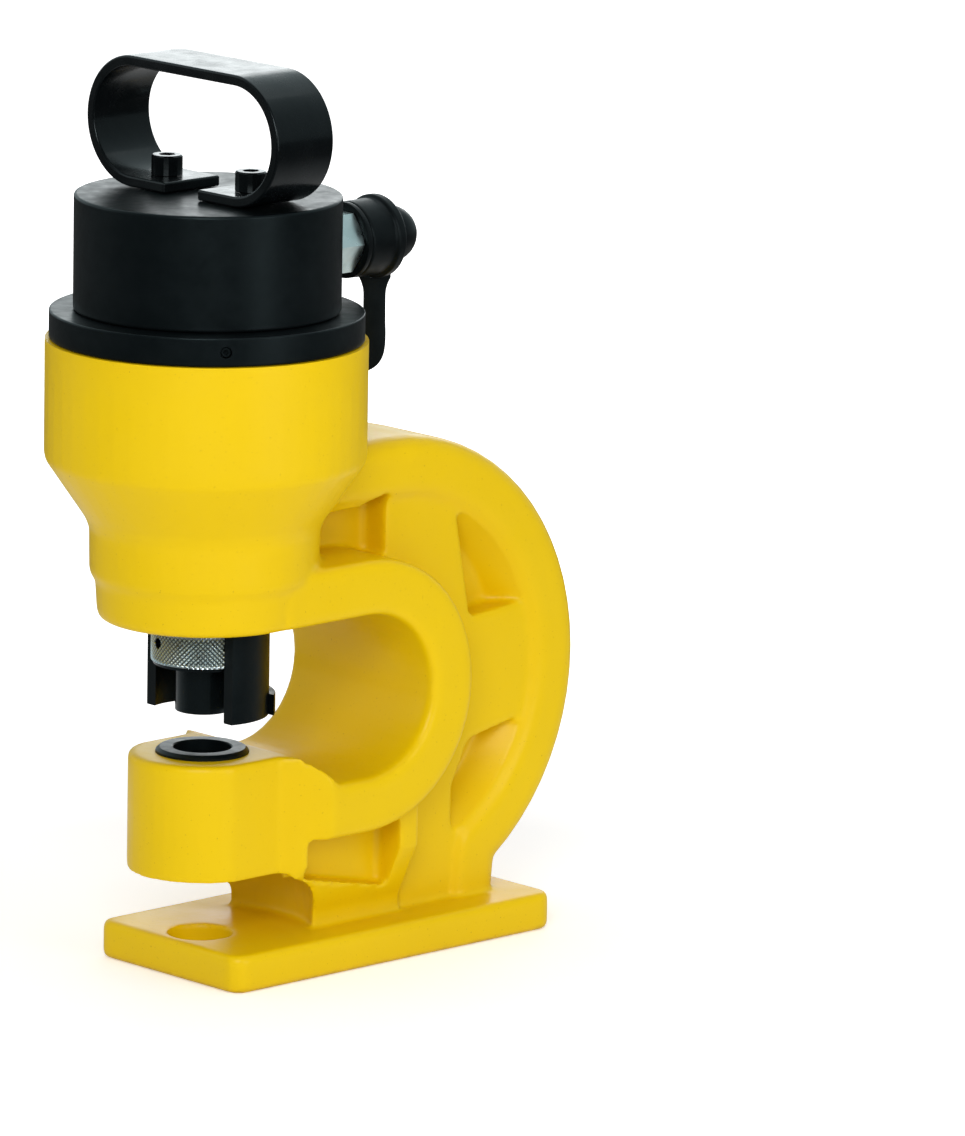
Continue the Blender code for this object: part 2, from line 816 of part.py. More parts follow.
def cylinder_head():
    """The black cap over the cylinder, whose skirt screws down inside the ring and the cup."""
    skirt = head_seat_radius - gap
    groove = skirt - o_ring_groove_depth
    profile = [
        (head_radius - head_edge, head_top),
        (head_radius, head_top - head_edge),
        (head_radius, ring_top + gap),
        (skirt, ring_top + gap),
        (skirt, o_ring_low + o_ring_height + gap),
        (groove, o_ring_low + o_ring_height + gap),
        (groove, o_ring_low - gap),
        (skirt, o_ring_low - gap),
        (skirt, head_seat_bottom + gap),
        (cylinder_radius, head_seat_bottom + gap),
        (cylinder_radius, head_ceiling),
        (0.0, head_ceiling),
    ]
    head = turned("cylinder_head", [(0.0, head_top)] + profile, finish="black_steel")
    here = Matrix.Translation((0.0, 0.0, coupler_height)) @ along_y
    port = rod("port_bore", adapter_thread_radius + gap, spotface_y - adapter_thread_reach - gap,
               head_radius + overrun, here, small_round_steps)
    way = rod("port_way", oil_way_radius, cylinder_radius / 2, head_radius, here, small_round_steps)
    face = rod("port_spotface", spotface_radius, spotface_y, head_radius + overrun, here, small_round_steps)
    holes = [
        rod(f"handle_hole_{side + 1}", screw_shank_radius + gap, head_top - screw_depth - gap,
            head_top + overrun, Matrix.Translation((side * handle_screw_x, 0.0, 0.0)), small_round_steps)
        for side in (-1, 1)
    ]
    return cut(head, port, way, face, *holes)


def lock_ring():
    """The ring that locks the head to the cup, with a radial hole for its screw."""
    inner = head_seat_radius + gap
    profile = [
        (ring_radius - ring_edge, ring_top),
        (ring_radius, ring_top - ring_edge),
        (ring_radius, ring_bottom + ring_edge),
        (ring_radius - ring_edge, ring_bottom),
        (inner, ring_bottom),
        (inner, ring_top),
    ]
    ring = turned("lock_ring", profile, finish="black_steel", ring=True)
    here = radial(ring_screw_azimuth, (ring_bottom + ring_top) / 2)
    hole = rod("ring_screw_hole", ring_screw_radius, inner - overrun, ring_radius + overrun, here, 16)
    cut(ring, hole)
    start = ring_radius - ring_screw_inset - ring_screw_length
    set_screw("lock_ring_screw", ring_screw_radius - gap, ring_screw_length, start, here)


def o_ring():
    outer = head_seat_radius - gap
    inner = outer - o_ring_groove_depth + gap
    middle = (outer + inner) / 2
    centre = o_ring_low + o_ring_height / 2
    half_width = (outer - inner) / 2
    profile = [
        (middle + half_width * math.sin(a), centre + o_ring_height / 2 * math.cos(a))
        for a in [2 * math.pi * i / 6 for i in range(6)]
    ]
    turned("head_o_ring", profile, finish="seal_rubber", ring=True, steps=inner_round_steps)


def carry_handle():
    """A strip bent to a loop; its two ends lie on the head under the screws."""
    bottom = head_top + gap
    radius = handle_height / 2
    inner = radius - handle_thickness
    middle_x = handle_half_length - radius
    middle_z = bottom + radius
    outer_path = [(handle_gap_half, bottom)]
    outer_path += arc((middle_x, middle_z), radius, -90, 90, 14)
    inner_path = arc((middle_x, middle_z), inner, 90, -90, 14)
    inner_path += [(handle_gap_half, bottom + handle_thickness)]
    left_inner = [(-x, z) for x, z in reversed(inner_path)]
    left_outer = [(-x, z) for x, z in reversed(outer_path)]
    outline = outer_path + left_outer + left_inner + inner_path
    strip = prism("carry_handle", [outline], -handle_width / 2, handle_width / 2, across_y, "black_gloss")
    rounded(strip, handle_edge, 2)
    for side, name in ((-1, "handle_screw_left"), (1, "handle_screw_right")):
        x = side * handle_screw_x
        hole = rod(f"strip_hole_{side + 1}", screw_shank_radius + gap, bottom - overrun,
                   bottom + handle_thickness + overrun, Matrix.Translation((x, 0.0, 0.0)), small_round_steps)
        cut(strip, hole)
        seat = bottom + handle_thickness + gap
        socket_screw(name, x, 0.0, seat, screw_head_radius, screw_head_height, screw_shank_radius,
                     seat - head_top + screw_depth, "black_gloss")


def piston_set():
    """Piston, its seal and wear ring, the ram and the screw that holds them together."""
    outer = cylinder_radius - gap
    seal_root = outer - seal_depth
    wear_root = outer - wear_ring_depth
    bore = ram_spigot_radius + gap
    recess = piston_screw_head_radius + gap
    recess_floor = piston_top - piston_recess_depth
    profile = [
        (outer - screw_edge, piston_top),
        (outer, piston_top - screw_edge),
        (outer, seal_low + seal_height + gap),
        (seal_root, seal_low + seal_height + gap),
        (seal_root, seal_low - gap),
        (outer, seal_low - gap),
        (outer, wear_ring_low + wear_ring_height + gap),
        (wear_root, wear_ring_low + wear_ring_height + gap),
        (wear_root, wear_ring_low - gap),
        (outer, wear_ring_low - gap),
        (outer, piston_bottom),
        (bore, piston_bottom),
        (bore, recess_floor),
        (recess, recess_floor),
        (recess, piston_top),
    ]
    turned("piston", profile, finish="bright_steel", ring=True, steps=inner_round_steps)
    ring_profile(
        "piston_seal", outer, seal_root + gap, seal_low, seal_height, "seal_rubber"
    )
    ring_profile("piston_wear_ring", outer, wear_root + gap, wear_ring_low, wear_ring_height, "bronze")
    spigot = recess_floor - gap
    ram = [
        (0.0, spigot),
        (ram_spigot_radius, spigot),
        (ram_spigot_radius, piston_bottom - gap),
        (ram_radius, piston_bottom - gap),
        (ram_radius, ram_bottom + screw_edge),
        (ram_radius - screw_edge, ram_bottom),
        (0.0, ram_bottom),
    ]
    rod_piece = turned("ram", ram, finish="bright_steel", steps=40)
    hole = rod("ram_screw_hole", piston_screw_radius + gap, spigot - piston_screw_length - gap,
               spigot + overrun, steps=small_round_steps)
    cut(rod_piece, hole)
    socket_screw("piston_screw", 0.0, 0.0, recess_floor + gap, piston_screw_head_radius,
                 piston_screw_head_height, piston_screw_radius, piston_screw_length, "black_steel")


def ring_profile(name, outer, inner, low, height, finish, steps=inner_round_steps):
    """A plain ring of rectangular section."""
    profile = [(outer, low + height), (outer, low), (inner, low), (inner, low + height)]
    return turned(name, profile, finish=finish, ring=True, steps=steps)


def guide_and_wiper():
    """The flanged bronze bush that guides the ram, and the rubber wiper under it."""
    inner = ram_radius + gap
    top = cylinder_floor - gap
    under_flange = top - bush_flange_height
    profile = [
        (bush_flange_radius, top),
        (bush_flange_radius, under_flange),
        (bush_seat_radius - gap, under_flange),
        (bush_seat_radius - gap, top - bush_height),
        (inner, top - bush_height),
        (inner, top),
    ]
    turned("guide_bush", profile, finish="bronze", ring=True, steps=inner_round_steps)
    low = wiper_groove_low + gap
    high = wiper_groove_high - gap
    lip = [
        (wiper_groove_radius - gap, high),
        (wiper_groove_radius - gap, low),
        ((wiper_groove_radius + inner) / 2, low),
        (inner, (low + high) / 2),
        (inner, high),
    ]
    turned("rod_wiper", lip, finish="seal_rubber", ring=True, steps=inner_round_steps)


def return_spring():
    coil("return_spring", spring_radius, spring_wire, cylinder_floor + gap, piston_bottom - gap,
         spring_turns, "spring_steel", spring_points_per_turn)


def punch_set():
    """The knurled nut, which hangs the punch by its collar from the end of the ram."""
    top = nut_bottom + nut_height
    lip_top = nut_bottom + nut_lip
    profile = [
        (nut_radius - nut_edge, top),
        (nut_radius, top - nut_edge),
        (nut_radius, nut_bottom + nut_edge),
        (nut_radius - nut_edge, nut_bottom),
        (punch_radius + gap, nut_bottom),
        (punch_radius + gap, lip_top),
        (ram_radius + gap, lip_top),
        (ram_radius + gap, top),
    ]
    nut = turned("punch_nut", profile, finish="bright_steel", ring=True, steps=40)
    for i in range(tommy_hole_count):
        angle = tommy_hole_turn + 2 * math.pi * i / tommy_hole_count
        hole = rod(f"tommy_hole_{i}", tommy_hole_radius, nut_radius - tommy_hole_depth, nut_radius + overrun,
                   radial(angle, nut_bottom + tommy_hole_height), 12)
        cut(nut, hole)
    collar_low = lip_top + gap
    collar_high = ram_bottom - gap
    shape = [
        (0.0, collar_high),
        (ram_radius, collar_high),
        (ram_radius, collar_low),
        (punch_radius, collar_low),
        (punch_radius, punch_bottom + punch_edge),
        (punch_radius - punch_edge, punch_bottom),
        (punch_pip_base, punch_bottom),
        (punch_pip_radius, punch_bottom - punch_pip_height),
        (0.0, punch_bottom - punch_pip_height),
    ]
    turned("punch", shape, finish="black_steel", steps=36)


def die_set():
    """The die in its seat, and the set screw that holds it from the left side."""
    low = die_top - die_height
    profile = [
        (die_rim_radius, die_top),
        (die_radius, die_top - die_rim_depth),
        (die_radius, low),
        (die_relief_radius, low),
        (die_relief_radius, die_top - die_land),
        (die_hole_radius, die_top - die_land),
        (die_hole_radius, die_top - punch_edge),
        (die_hole_radius + punch_edge, die_top),
    ]
    turned("die", profile, finish="black_steel", ring=True, steps=40)
    set_screw("die_set_screw", die_screw_radius, die_screw_length, die_radius + gap,
              radial(math.pi, die_screw_height))


def stripper():
    """The sleeve that pushes the plate off the punch: a full ring above, open in front below."""
    profile = [
        (stripper_outer_radius, stripper_top),
        (stripper_outer_radius, stripper_bottom),
        (stripper_inner_radius, stripper_bottom),
        (stripper_inner_radius, stripper_top),
    ]
    sleeve = turned("stripper", profile, finish="black_steel", ring=True, steps=40)
    foot_top = stripper_bottom + stripper_foot_height
    foot_profile = [
        (stripper_foot_radius, foot_top - punch_edge),
        (stripper_foot_radius, stripper_bottom + punch_edge),
        (stripper_outer_radius - foot_root, stripper_bottom + punch_edge),
        (stripper_outer_radius - foot_root, foot_top - punch_edge),
    ]
    foot = turned("stripper_foot", foot_profile, ring=True, steps=40)
    reach = stripper_foot_radius + overrun
    cut(foot, block("foot_trim", (-reach, -reach, stripper_bottom - overrun),
                    (reach, stripper_foot_front, foot_top + overrun)))
    join(sleeve, foot)
    cut(sleeve, block("stripper_mouth", (-reach, -reach, stripper_bottom - overrun),
                      (reach, stripper_front, nose_bottom - gap)))
    start = stripper_outer_radius + gap
    set_screw("stripper_screw", stripper_screw_radius, stripper_screw_length, start,
              radial(math.pi, stripper_screw_height))


def hexagon(across_corners):
    radius = across_corners / 2
    return [(radius * math.cos(a), radius * math.sin(a)) for a in [i * math.pi / 3 for i in range(6)]]


def coupler():
    """The oil coupler: sealing washer, hexagon adapter, male half, valve poppet and spring."""
    here = Matrix.Translation((0.0, 0.0, coupler_height)) @ along_y
    washer_start = spotface_y + gap
    washer_end = washer_start + washer_thickness
    ring_washer = [
        (washer_radius, washer_end),
        (washer_radius, washer_start),
        (adapter_thread_radius + gap, washer_start),
        (adapter_thread_radius + gap, washer_end),
    ]
    turned("port_washer", ring_washer, here, "bronze", ring=True, steps=small_round_steps)
    hex_start = washer_end + gap
    thread_start = spotface_y - adapter_thread_reach
    adapter = prism("coupler_adapter", [hexagon(hex_across_corners)], hex_start, hex_end, here, "zinc_plate")
    turned_ends = [
        (0.0, adapter_stub_end),
        (adapter_stub_radius, adapter_stub_end),
        (adapter_stub_radius, adapter_end),
        (adapter_neck_radius, adapter_end),
        (adapter_neck_radius, hex_end - overrun),
        (adapter_thread_radius, hex_end - overrun),
        (adapter_thread_radius, thread_start),
        (0.0, thread_start),
    ]
    corner = hex_across_corners / 2
    flat = corner * math.cos(math.pi / 6)
    chamfer = turned("hex_chamfer", [
        (corner + overrun, hex_end + overrun),
        (corner + overrun, hex_start - overrun),
        (flat - gap, hex_start - overrun),
        (flat - gap, hex_start),
        (corner + gap, hex_start + hex_edge),
        (corner + gap, hex_end - hex_edge),
        (flat - gap, hex_end),
        (flat - gap, hex_end + overrun),
    ], here, ring=True, steps=28)
    cut(adapter, chamfer)
    join(adapter, turned("adapter_ends", turned_ends, here, steps=28))
    cut(adapter, rod("adapter_way", oil_way_radius, thread_start - overrun, adapter_stub_end + overrun, here,
                     small_round_steps))
    chamber_start = adapter_stub_end + gap
    chamber_end = body_end - body_lip
    body_profile = [
        (body_nose_radius - hex_edge / 2, body_end),
        (body_nose_radius, body_end - hex_edge / 2),
        (body_nose_radius, body_shoulder_y),
        (body_radius, body_shoulder_y),
        (body_radius, body_start),
        (adapter_stub_radius + gap, body_start),
        (adapter_stub_radius + gap, chamber_start),
        (body_chamber_radius, chamber_start),
        (body_chamber_radius, chamber_end),
        (body_mouth_radius, chamber_end),
        (body_mouth_radius, body_end),
    ]
    turned("coupler_body", body_profile, here, "zinc_plate", ring=True, steps=28)
    head_end = chamber_end - gap
    poppet_start = head_end - poppet_head_length
    poppet = [
        (0.0, head_end + poppet_stem_length),
        (poppet_stem_radius, head_end + poppet_stem_length),
        (poppet_stem_radius, head_end),
        (body_chamber_radius - gap, head_end),
        (body_chamber_radius - gap, poppet_start),
        (0.0, poppet_start),
    ]
    turned("coupler_poppet", poppet, here, "bright_steel", steps=small_round_steps)
    coil("coupler_spring", valve_spring_radius, valve_spring_wire, chamber_start + poppet_travel,
         poppet_start - gap, valve_spring_turns, "spring_steel", valve_spring_points_per_turn, here)


def dust_cap():
    """The rubber cap over the coupler: skirt, disc and domed end."""
    here = Matrix.Translation((0.0, 0.0, coupler_height)) @ along_y
    dome_start = cap_tip - cap_dome_radius
    dome = [
        (cap_dome_radius * math.sin(a), dome_start + cap_dome_radius * math.cos(a))
        for a in [math.radians(d) for d in (0, 18, 36, 54, 72, 90)]
    ]
    profile = dome + [
        (cap_dome_radius, cap_disc_end + cap_edge),
        (cap_disc_radius - cap_edge, cap_disc_end),
        (cap_disc_radius, cap_disc_end - cap_edge),
        (cap_disc_radius, cap_disc_start + cap_edge),
        (cap_skirt_radius, cap_disc_start - cap_edge),
        (cap_skirt_radius, cap_start + cap_edge),
        (cap_skirt_radius - cap_edge, cap_start),
        (cap_cavity_radius, cap_start),
        (cap_cavity_radius, cap_cavity_end),
        (0.0, cap_cavity_end),
    ]
    turned("dust_cap", profile, here, "black_rubber", steps=32)


def softened(points, rounds):
    """Cuts the corners of an open route, which keeps its two ends."""
    for _ in range(rounds):
        cut_points = [points[0]]
        for (x0, y0), (x1, y1) in zip(points, points[1:]):
            cut_points += [((3 * x0 + x1) / 4, (3 * y0 + y1) / 4), ((x0 + 3 * x1) / 4, (y0 + 3 * y1) / 4)]
        points = cut_points + [points[-1]]
    return points


def band_outline(route, thickness):
    """The outline of a band of even thickness along a flat route."""
    near = []
    far = []
    for i, (x, y) in enumerate(route):
        before = route[max(i - 1, 0)]
        after = route[min(i + 1, len(route) - 1)]
        length = math.hypot(after[0] - before[0], after[1] - before[1])
        across = ((before[1] - after[1]) / length, (after[0] - before[0]) / length)
        near.append((x + across[0] * thickness / 2, y + across[1] * thickness / 2))
        far.append((x - across[0] * thickness / 2, y - across[1] * thickness / 2))
    return near + far[::-1]


def cap_strap():
    """The strap from under the cap's disc down and back up to a ring round the adapter."""
    top = coupler_height - cap_disc_radius - gap
    low = coupler_height - strap_drop
    disc_middle = (cap_disc_start + cap_disc_end) / 2
    ring_middle = tether_start + tether_thickness / 2
    end = Vector((-tether_tab_radius * math.sin(tether_tab_angle), ring_middle))
    span = end - Vector((0.0, disc_middle))
    end_height = coupler_height - tether_tab_radius * math.cos(tether_tab_angle)
    route = [(span.length * along, low + (top - low) * lift) for along, lift in strap_route_shares]
    route += [(span.length, end_height)]
    ahead = span.normalized()
    plane = Matrix((
        (ahead.x, 0, ahead.y, 0),
        (ahead.y, 0, -ahead.x, disc_middle),
        (0, 1, 0, 0),
        (0, 0, 0, 1),
    ))
    outline = band_outline(softened(route, 2), strap_width)
    half_thickness = strap_thickness / 2
    strap = prism("cap_strap", [outline], -half_thickness, half_thickness, plane, "black_rubber")
    here = Matrix.Translation((0.0, 0.0, coupler_height)) @ along_y
    ring = [
        (tether_outer_radius, tether_start + tether_thickness),
        (tether_outer_radius, tether_start),
        (tether_inner_radius, tether_start),
        (tether_inner_radius, tether_start + tether_thickness),
    ]
    half = strap_width / 2
    inner = (tether_inner_radius + tether_outer_radius) / 2
    tab = prism(
        "tether_tab",
        [[(-half, inner), (half, inner), (half, tether_tab_radius + strap_thickness),
          (-half, tether_tab_radius + strap_thickness)]],
        tether_start,
        tether_start + tether_thickness,
        here @ Matrix.Rotation(tether_tab_angle, 4, "Z"),
    )
    join(strap, turned("tether_ring", ring, here, ring=True, steps=28), tab)


c_frame()
cylinder_head()
lock_ring()
o_ring()
carry_handle()
piston_set()
guide_and_wiper()
return_spring()
punch_set()
die_set()
stripper()
coupler()
dust_cap()
cap_strap()
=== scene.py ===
"""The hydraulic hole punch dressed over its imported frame: cast fillets, knurl, paint, steel and rubber.

Metres, +Z up. The origin is the centre of the base plate's underside, and the ram's axis stands at RAM_Y.
"""

import json
import math

import bmesh
import bpy
from mathutils import Matrix, Vector


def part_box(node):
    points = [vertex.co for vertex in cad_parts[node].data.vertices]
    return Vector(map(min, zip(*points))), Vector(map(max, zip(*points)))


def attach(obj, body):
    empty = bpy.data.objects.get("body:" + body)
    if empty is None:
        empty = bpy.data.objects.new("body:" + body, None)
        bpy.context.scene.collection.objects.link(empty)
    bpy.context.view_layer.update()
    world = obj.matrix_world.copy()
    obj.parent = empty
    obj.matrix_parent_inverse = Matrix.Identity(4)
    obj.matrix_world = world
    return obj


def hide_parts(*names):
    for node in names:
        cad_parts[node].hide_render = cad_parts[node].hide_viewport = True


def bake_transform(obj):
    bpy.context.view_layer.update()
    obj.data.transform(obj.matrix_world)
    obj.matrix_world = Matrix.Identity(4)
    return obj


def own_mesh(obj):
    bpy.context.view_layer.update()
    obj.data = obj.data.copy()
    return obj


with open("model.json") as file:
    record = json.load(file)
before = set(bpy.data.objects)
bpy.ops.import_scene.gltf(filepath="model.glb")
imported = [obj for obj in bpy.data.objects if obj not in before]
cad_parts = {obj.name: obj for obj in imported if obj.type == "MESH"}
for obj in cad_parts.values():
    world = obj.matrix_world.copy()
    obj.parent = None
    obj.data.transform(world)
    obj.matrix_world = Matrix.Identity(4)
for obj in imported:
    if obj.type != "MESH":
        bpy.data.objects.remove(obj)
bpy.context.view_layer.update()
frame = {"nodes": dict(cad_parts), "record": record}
nodes = frame["nodes"]
scene = bpy.context.scene

MM = 0.001
OVERRUN = 2 * MM
SHARP_ANGLE = math.radians(32)

# Places that the frame gives
RING_LOW, RING_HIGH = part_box("lock_ring")
RAM_Y = (RING_LOW[1] + RING_HIGH[1]) / 2
CUP_TOP = RING_LOW[2] - 0.3 * MM
NUT_LOW, NUT_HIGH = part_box("punch_nut")
DIE_LOW, DIE_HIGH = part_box("die")
HEAD_LOW, HEAD_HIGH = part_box("cylinder_head")

# Camera at the photograph's angle, and the image that it was solved for
CAMERA_AZIMUTH = math.radians(46.315)
CAMERA_PITCH = math.radians(11.9975)
CAMERA_ROLL = math.radians(1.0087)
CAMERA_PLACE = (3.512, -3.159, 1.216)
IMAGE_HEIGHT_PIXELS = 1136
FOCAL_PIXELS = 9504.9
SENSOR_MM = 36.0

# Floor: white from the far distance on
FLOOR_NEAR = 0.28
FLOOR_FAR = 0.75
FLOOR_BOUNCE = 0.24
MIRROR_NEAR = 0.45
MIRROR_FAR = 0.95

# Cast skin
CAST_VOXEL = 1.5 * MM
CAST_SMOOTH_STEPS = 8
CUP_RADIUS = 82.0 * MM
CUP_EXTRA = 14 * MM
HEAD_SEAT_RADIUS = 60.3 * MM
HEAD_SEAT_BOTTOM = 300 * MM
CYLINDER_RADIUS = 40.3 * MM
CYLINDER_FLOOR = 262 * MM
ROD_BORE_RADIUS = 24 * MM
STRIPPER_SEAT_RADIUS = 34.1 * MM
STRIPPER_SEAT_TOP = 199 * MM
NOSE_BOTTOM = 184.5 * MM
DIE_SEAT_RADIUS = 24.1 * MM
JAW_TOP = 114.7 * MM
JAW_BOTTOM = 54 * MM
SLUG_RADIUS = 17.2 * MM
BORE_STEPS = 96
SKIN = 0.2 * MM
SIDE_HOLES = (
    (4.3 * MM, 102.0 * MM, 36.2 * MM, 19.0 * MM),
    (3.3 * MM, 192.5 * MM, 54.2 * MM, 30.0 * MM),
)

# The rim's inner wall slopes to the pocket floors; radii and half widths from the rim's own axis
RIM_CENTRE = (107.0 * MM, 140.2 * MM)
RIM_SECTOR = (math.radians(-61), math.radians(94))
RIM_SECTOR_STEPS = 60
FLANK_FILL = ((83 * MM, 11 * MM), (97 * MM, 29 * MM), (98.5 * MM, 11 * MM))
FLANK_CUT = ((92.5 * MM, 27.2 * MM), (92.5 * MM, 34 * MM), (101 * MM, 34 * MM))

# Extra metal behind the front of each pedestal pocket: lowest and highest corner on the right side
POCKET_WALL = ((24.5 * MM, RAM_Y + 32 * MM, 47 * MM), (27.2 * MM, RAM_Y + 52 * MM, 60 * MM))

# The front pocket's roof rises towards the column; (back from the ram's axis, height) and half widths
FRONT_POCKET_ROOF = (
    (82.0 * MM, 231.0 * MM), (99.8 * MM, 231.0 * MM), (100.6 * MM, 239.0 * MM), (98.6 * MM, 241.0 * MM),
    (95.0 * MM, 240.0 * MM), (82.0 * MM, 235.2 * MM),
)
FRONT_POCKET_FLOOR = 13.0 * MM
FRONT_POCKET_REACH = 36.0 * MM

# Hexagon adapter and the strap's ring, measured from the ram's axis towards the back
HEX_CORNER = 17.5 * MM
HEX_START = 68.2 * MM
HEX_END = 92.5 * MM
HEX_CHAMFER = 0.9 * MM
NECK_RADIUS = 15.0 * MM
NECK_END = 95.8 * MM
STUB_RADIUS = 8.5 * MM
STUB_END = 106.8 * MM
THREAD_RADIUS = 9.8 * MM
THREAD_START = 47.8 * MM
OIL_WAY = 3.5 * MM
STRAP_WIDTH = 11.2 * MM
STRAP_THICKNESS = 2.6 * MM
STRAP_DROP = 65 * MM
TETHER_START = 92.8 * MM
TETHER_INNER = 15.3 * MM
TETHER_OUTER = 19.7 * MM
TETHER_TAB = 22.2 * MM
TETHER_TURN = math.radians(41)
STRAP_SHARES = (
    (0.0, 1.0), (0.0, 0.5), (-0.02, 0.26), (0.02, 0.06), (0.22, -0.02), (0.62, -0.02),
    (0.98, 0.06), (1.06, 0.30),
)

# Machined pieces: the corner rounding of their turned outlines
ROUND_STEPS = 144
HEAD_RADIUS = 67.9 * MM
HEAD_SKIRT = 60.0 * MM
HEAD_CEILING = 378.5 * MM
HEAD_FILLET = 1.6 * MM
PORT_HEIGHT = 369 * MM
PORT_FACE = 65.8 * MM
PORT_RADIUS = 16.5 * MM
RING_FILLET = 1.0 * MM
RING_SCREW_RADIUS = 3.0 * MM
RING_SCREW_TURN = math.radians(-35)
DIE_HOLE_RADIUS = 15.0 * MM
DIE_RELIEF_RADIUS = 16.5 * MM
DIE_RIM_RADIUS = 22.2 * MM
DIE_LAND = 6 * MM
PUNCH_RADIUS = 14.2 * MM
RAM_RADIUS = 22.0 * MM
PIP_BASE = 2.6 * MM
PIP_RADIUS = 0.9 * MM
PIP_HEIGHT = 1.2 * MM
STRIPPER_OUTER = 33.8 * MM
STRIPPER_INNER = 27.6 * MM
STRIPPER_FRONT = -9.1 * MM
STRIPPER_FOOT = 37.0 * MM
STRIPPER_FOOT_HEIGHT = 11.0 * MM
STRIPPER_FOOT_FRONT = 22.0 * MM
STRIPPER_EDGE = 0.5 * MM

# Carrying handle
HANDLE_THICKNESS = 5.5 * MM
HANDLE_WIDTH = 38.0 * MM
HANDLE_HALF_LENGTH = 72.0 * MM
HANDLE_HEIGHT = 67.0 * MM
HANDLE_GAP = 12.5 * MM
HANDLE_EDGE = 1.1 * MM
HANDLE_SCREW_X = 31.6 * MM
SCREW_HOLE = 5.3 * MM

# Rubber cap and strap, measured from the ram's axis towards the back
CAP_START = 96.1 * MM
CAP_SKIRT = 19.8 * MM
CAP_DISC_START = 112.8 * MM
CAP_DISC_END = 117.8 * MM
CAP_DISC = 21.6 * MM
CAP_DOME = 14.8 * MM
CAP_TIP = 139.1 * MM
CAP_CAVITY = 14.0 * MM
CAP_CAVITY_END = 128.2 * MM
CAP_FILLET = 1.6 * MM
CAP_CLEARANCE = 0.15 * MM
STRAP_FLARE = 0.45
STRAP_FLARE_LENGTH = 9.0 * MM

# Knurled nut
KNURL_COUNT = 68
KNURL_SAMPLES = 10
KNURL_DEPTH = 0.78 * MM
KNURL_BOTTOM_BAND = 1.8 * MM
KNURL_TOP = 18.2 * MM
NUT_PUNCH_HOLE = 14.5 * MM
NUT_RAM_HOLE = 22.3 * MM
NUT_LIP = 10 * MM
NUT_CHAMFER = 1.2 * MM
TOMMY_RADIUS = 2.9 * MM
TOMMY_DEPTH = 3 * MM
TOMMY_HEIGHT = 12 * MM
TOMMY_TURN = math.radians(-103)
TOMMY_COUNT = 4

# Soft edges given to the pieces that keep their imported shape
EDGE_WIDTHS = {
    "handle_screw_left": 0.25 * MM,
    "handle_screw_right": 0.25 * MM,
    "coupler_body": 0.2 * MM,
    "die_set_screw": 0.15 * MM,
    "stripper_screw": 0.15 * MM,
    "lock_ring_screw": 0.15 * MM,
}


def link(obj):
    scene.collection.objects.link(obj)
    return obj


def new_object(name, shape, smooth=True):
    """A mesh object from a bmesh."""
    mesh = bpy.data.meshes.new(name)
    bmesh.ops.recalc_face_normals(shape, faces=shape.faces)
    shape.to_mesh(mesh)
    shape.free()
    obj = link(bpy.data.objects.new(name, mesh))
    if smooth:
        mesh.shade_smooth()
        mesh.set_sharp_from_angle(angle=SHARP_ANGLE)
    return obj


def lathe(name, profile, steps, centre=(0.0, 0.0), closed=False, smooth=True):
    """Turns (radius, height) points about a vertical axis; an open profile starts and ends on the axis."""
    shape = bmesh.new()
    rings = []
    for radius, height in profile:
        if radius < 1e-7:
            rings.append([shape.verts.new((centre[0], centre[1], height))])
            continue
        ring = []
        for i in range(steps):
            angle = 2 * math.pi * i / steps
            x = centre[0] + radius * math.cos(angle)
            y = centre[1] + radius * math.sin(angle)
            ring.append(shape.verts.new((x, y, height)))
        rings.append(ring)
    pairs = list(zip(rings, rings[1:]))
    if closed:
        pairs.append((rings[-1], rings[0]))
    for upper, lower in pairs:
        for i in range(steps):
            j = (i + 1) % steps
            corners = []
            around = (upper[i % len(upper)], upper[j % len(upper)],
                      lower[j % len(lower)], lower[i % len(lower)])
            for vert in around:
                if vert not in corners:
                    corners.append(vert)
            if len(corners) > 2:
                shape.faces.new(corners)
    return new_object(name, shape, smooth)


def baked(obj, name):
    """Replaces an object with its evaluated mesh."""
    bpy.context.view_layer.update()
    graph = bpy.context.evaluated_depsgraph_get()
    mesh = bpy.data.meshes.new_from_object(obj.evaluated_get(graph))
    mesh.name = name
    old = obj.data
    obj.modifiers.clear()
    obj.data = mesh
    bpy.data.meshes.remove(old)
    return obj


def boolean(obj, tool, operation):
    modifier = obj.modifiers.new(operation.lower(), "BOOLEAN")
    modifier.operation = operation
    modifier.solver = "EXACT"
    modifier.object = tool


def remove(*objects):
    for obj in objects:
        bpy.data.objects.remove(obj, do_unlink=True)


def even_normals(obj):
    """Keeps large faces flat in shade beside small roundings."""
    obj.data.shade_smooth()
    obj.data.set_sharp_from_angle(angle=SHARP_ANGLE)
    modifier = obj.modifiers.new("even_normals", "WEIGHTED_NORMAL")
    modifier.keep_sharp = True
    modifier.weight = 80
    return obj


def filleted(points, size, steps=4, closed=False):
    """Rounds the corners of an outline with short curves."""
    made = []
    count = len(points)
    for i, point in enumerate(points):
        if not closed and i in (0, count - 1):
            made.append(point)
            continue
        here = Vector(point)
        before = Vector(points[i - 1]) - here
        after = Vector(points[(i + 1) % count]) - here
        reach = min(size, before.length * 0.45, after.length * 0.45)
        first = here + before.normalized() * reach
        last = here + after.normalized() * reach
        for k in range(steps + 1):
            t = k / steps
            spot = first * (1 - t) ** 2 + here * (2 * t * (1 - t)) + last * t ** 2
            made.append((spot.x, spot.y))
    return made


# Node helpers for the materials

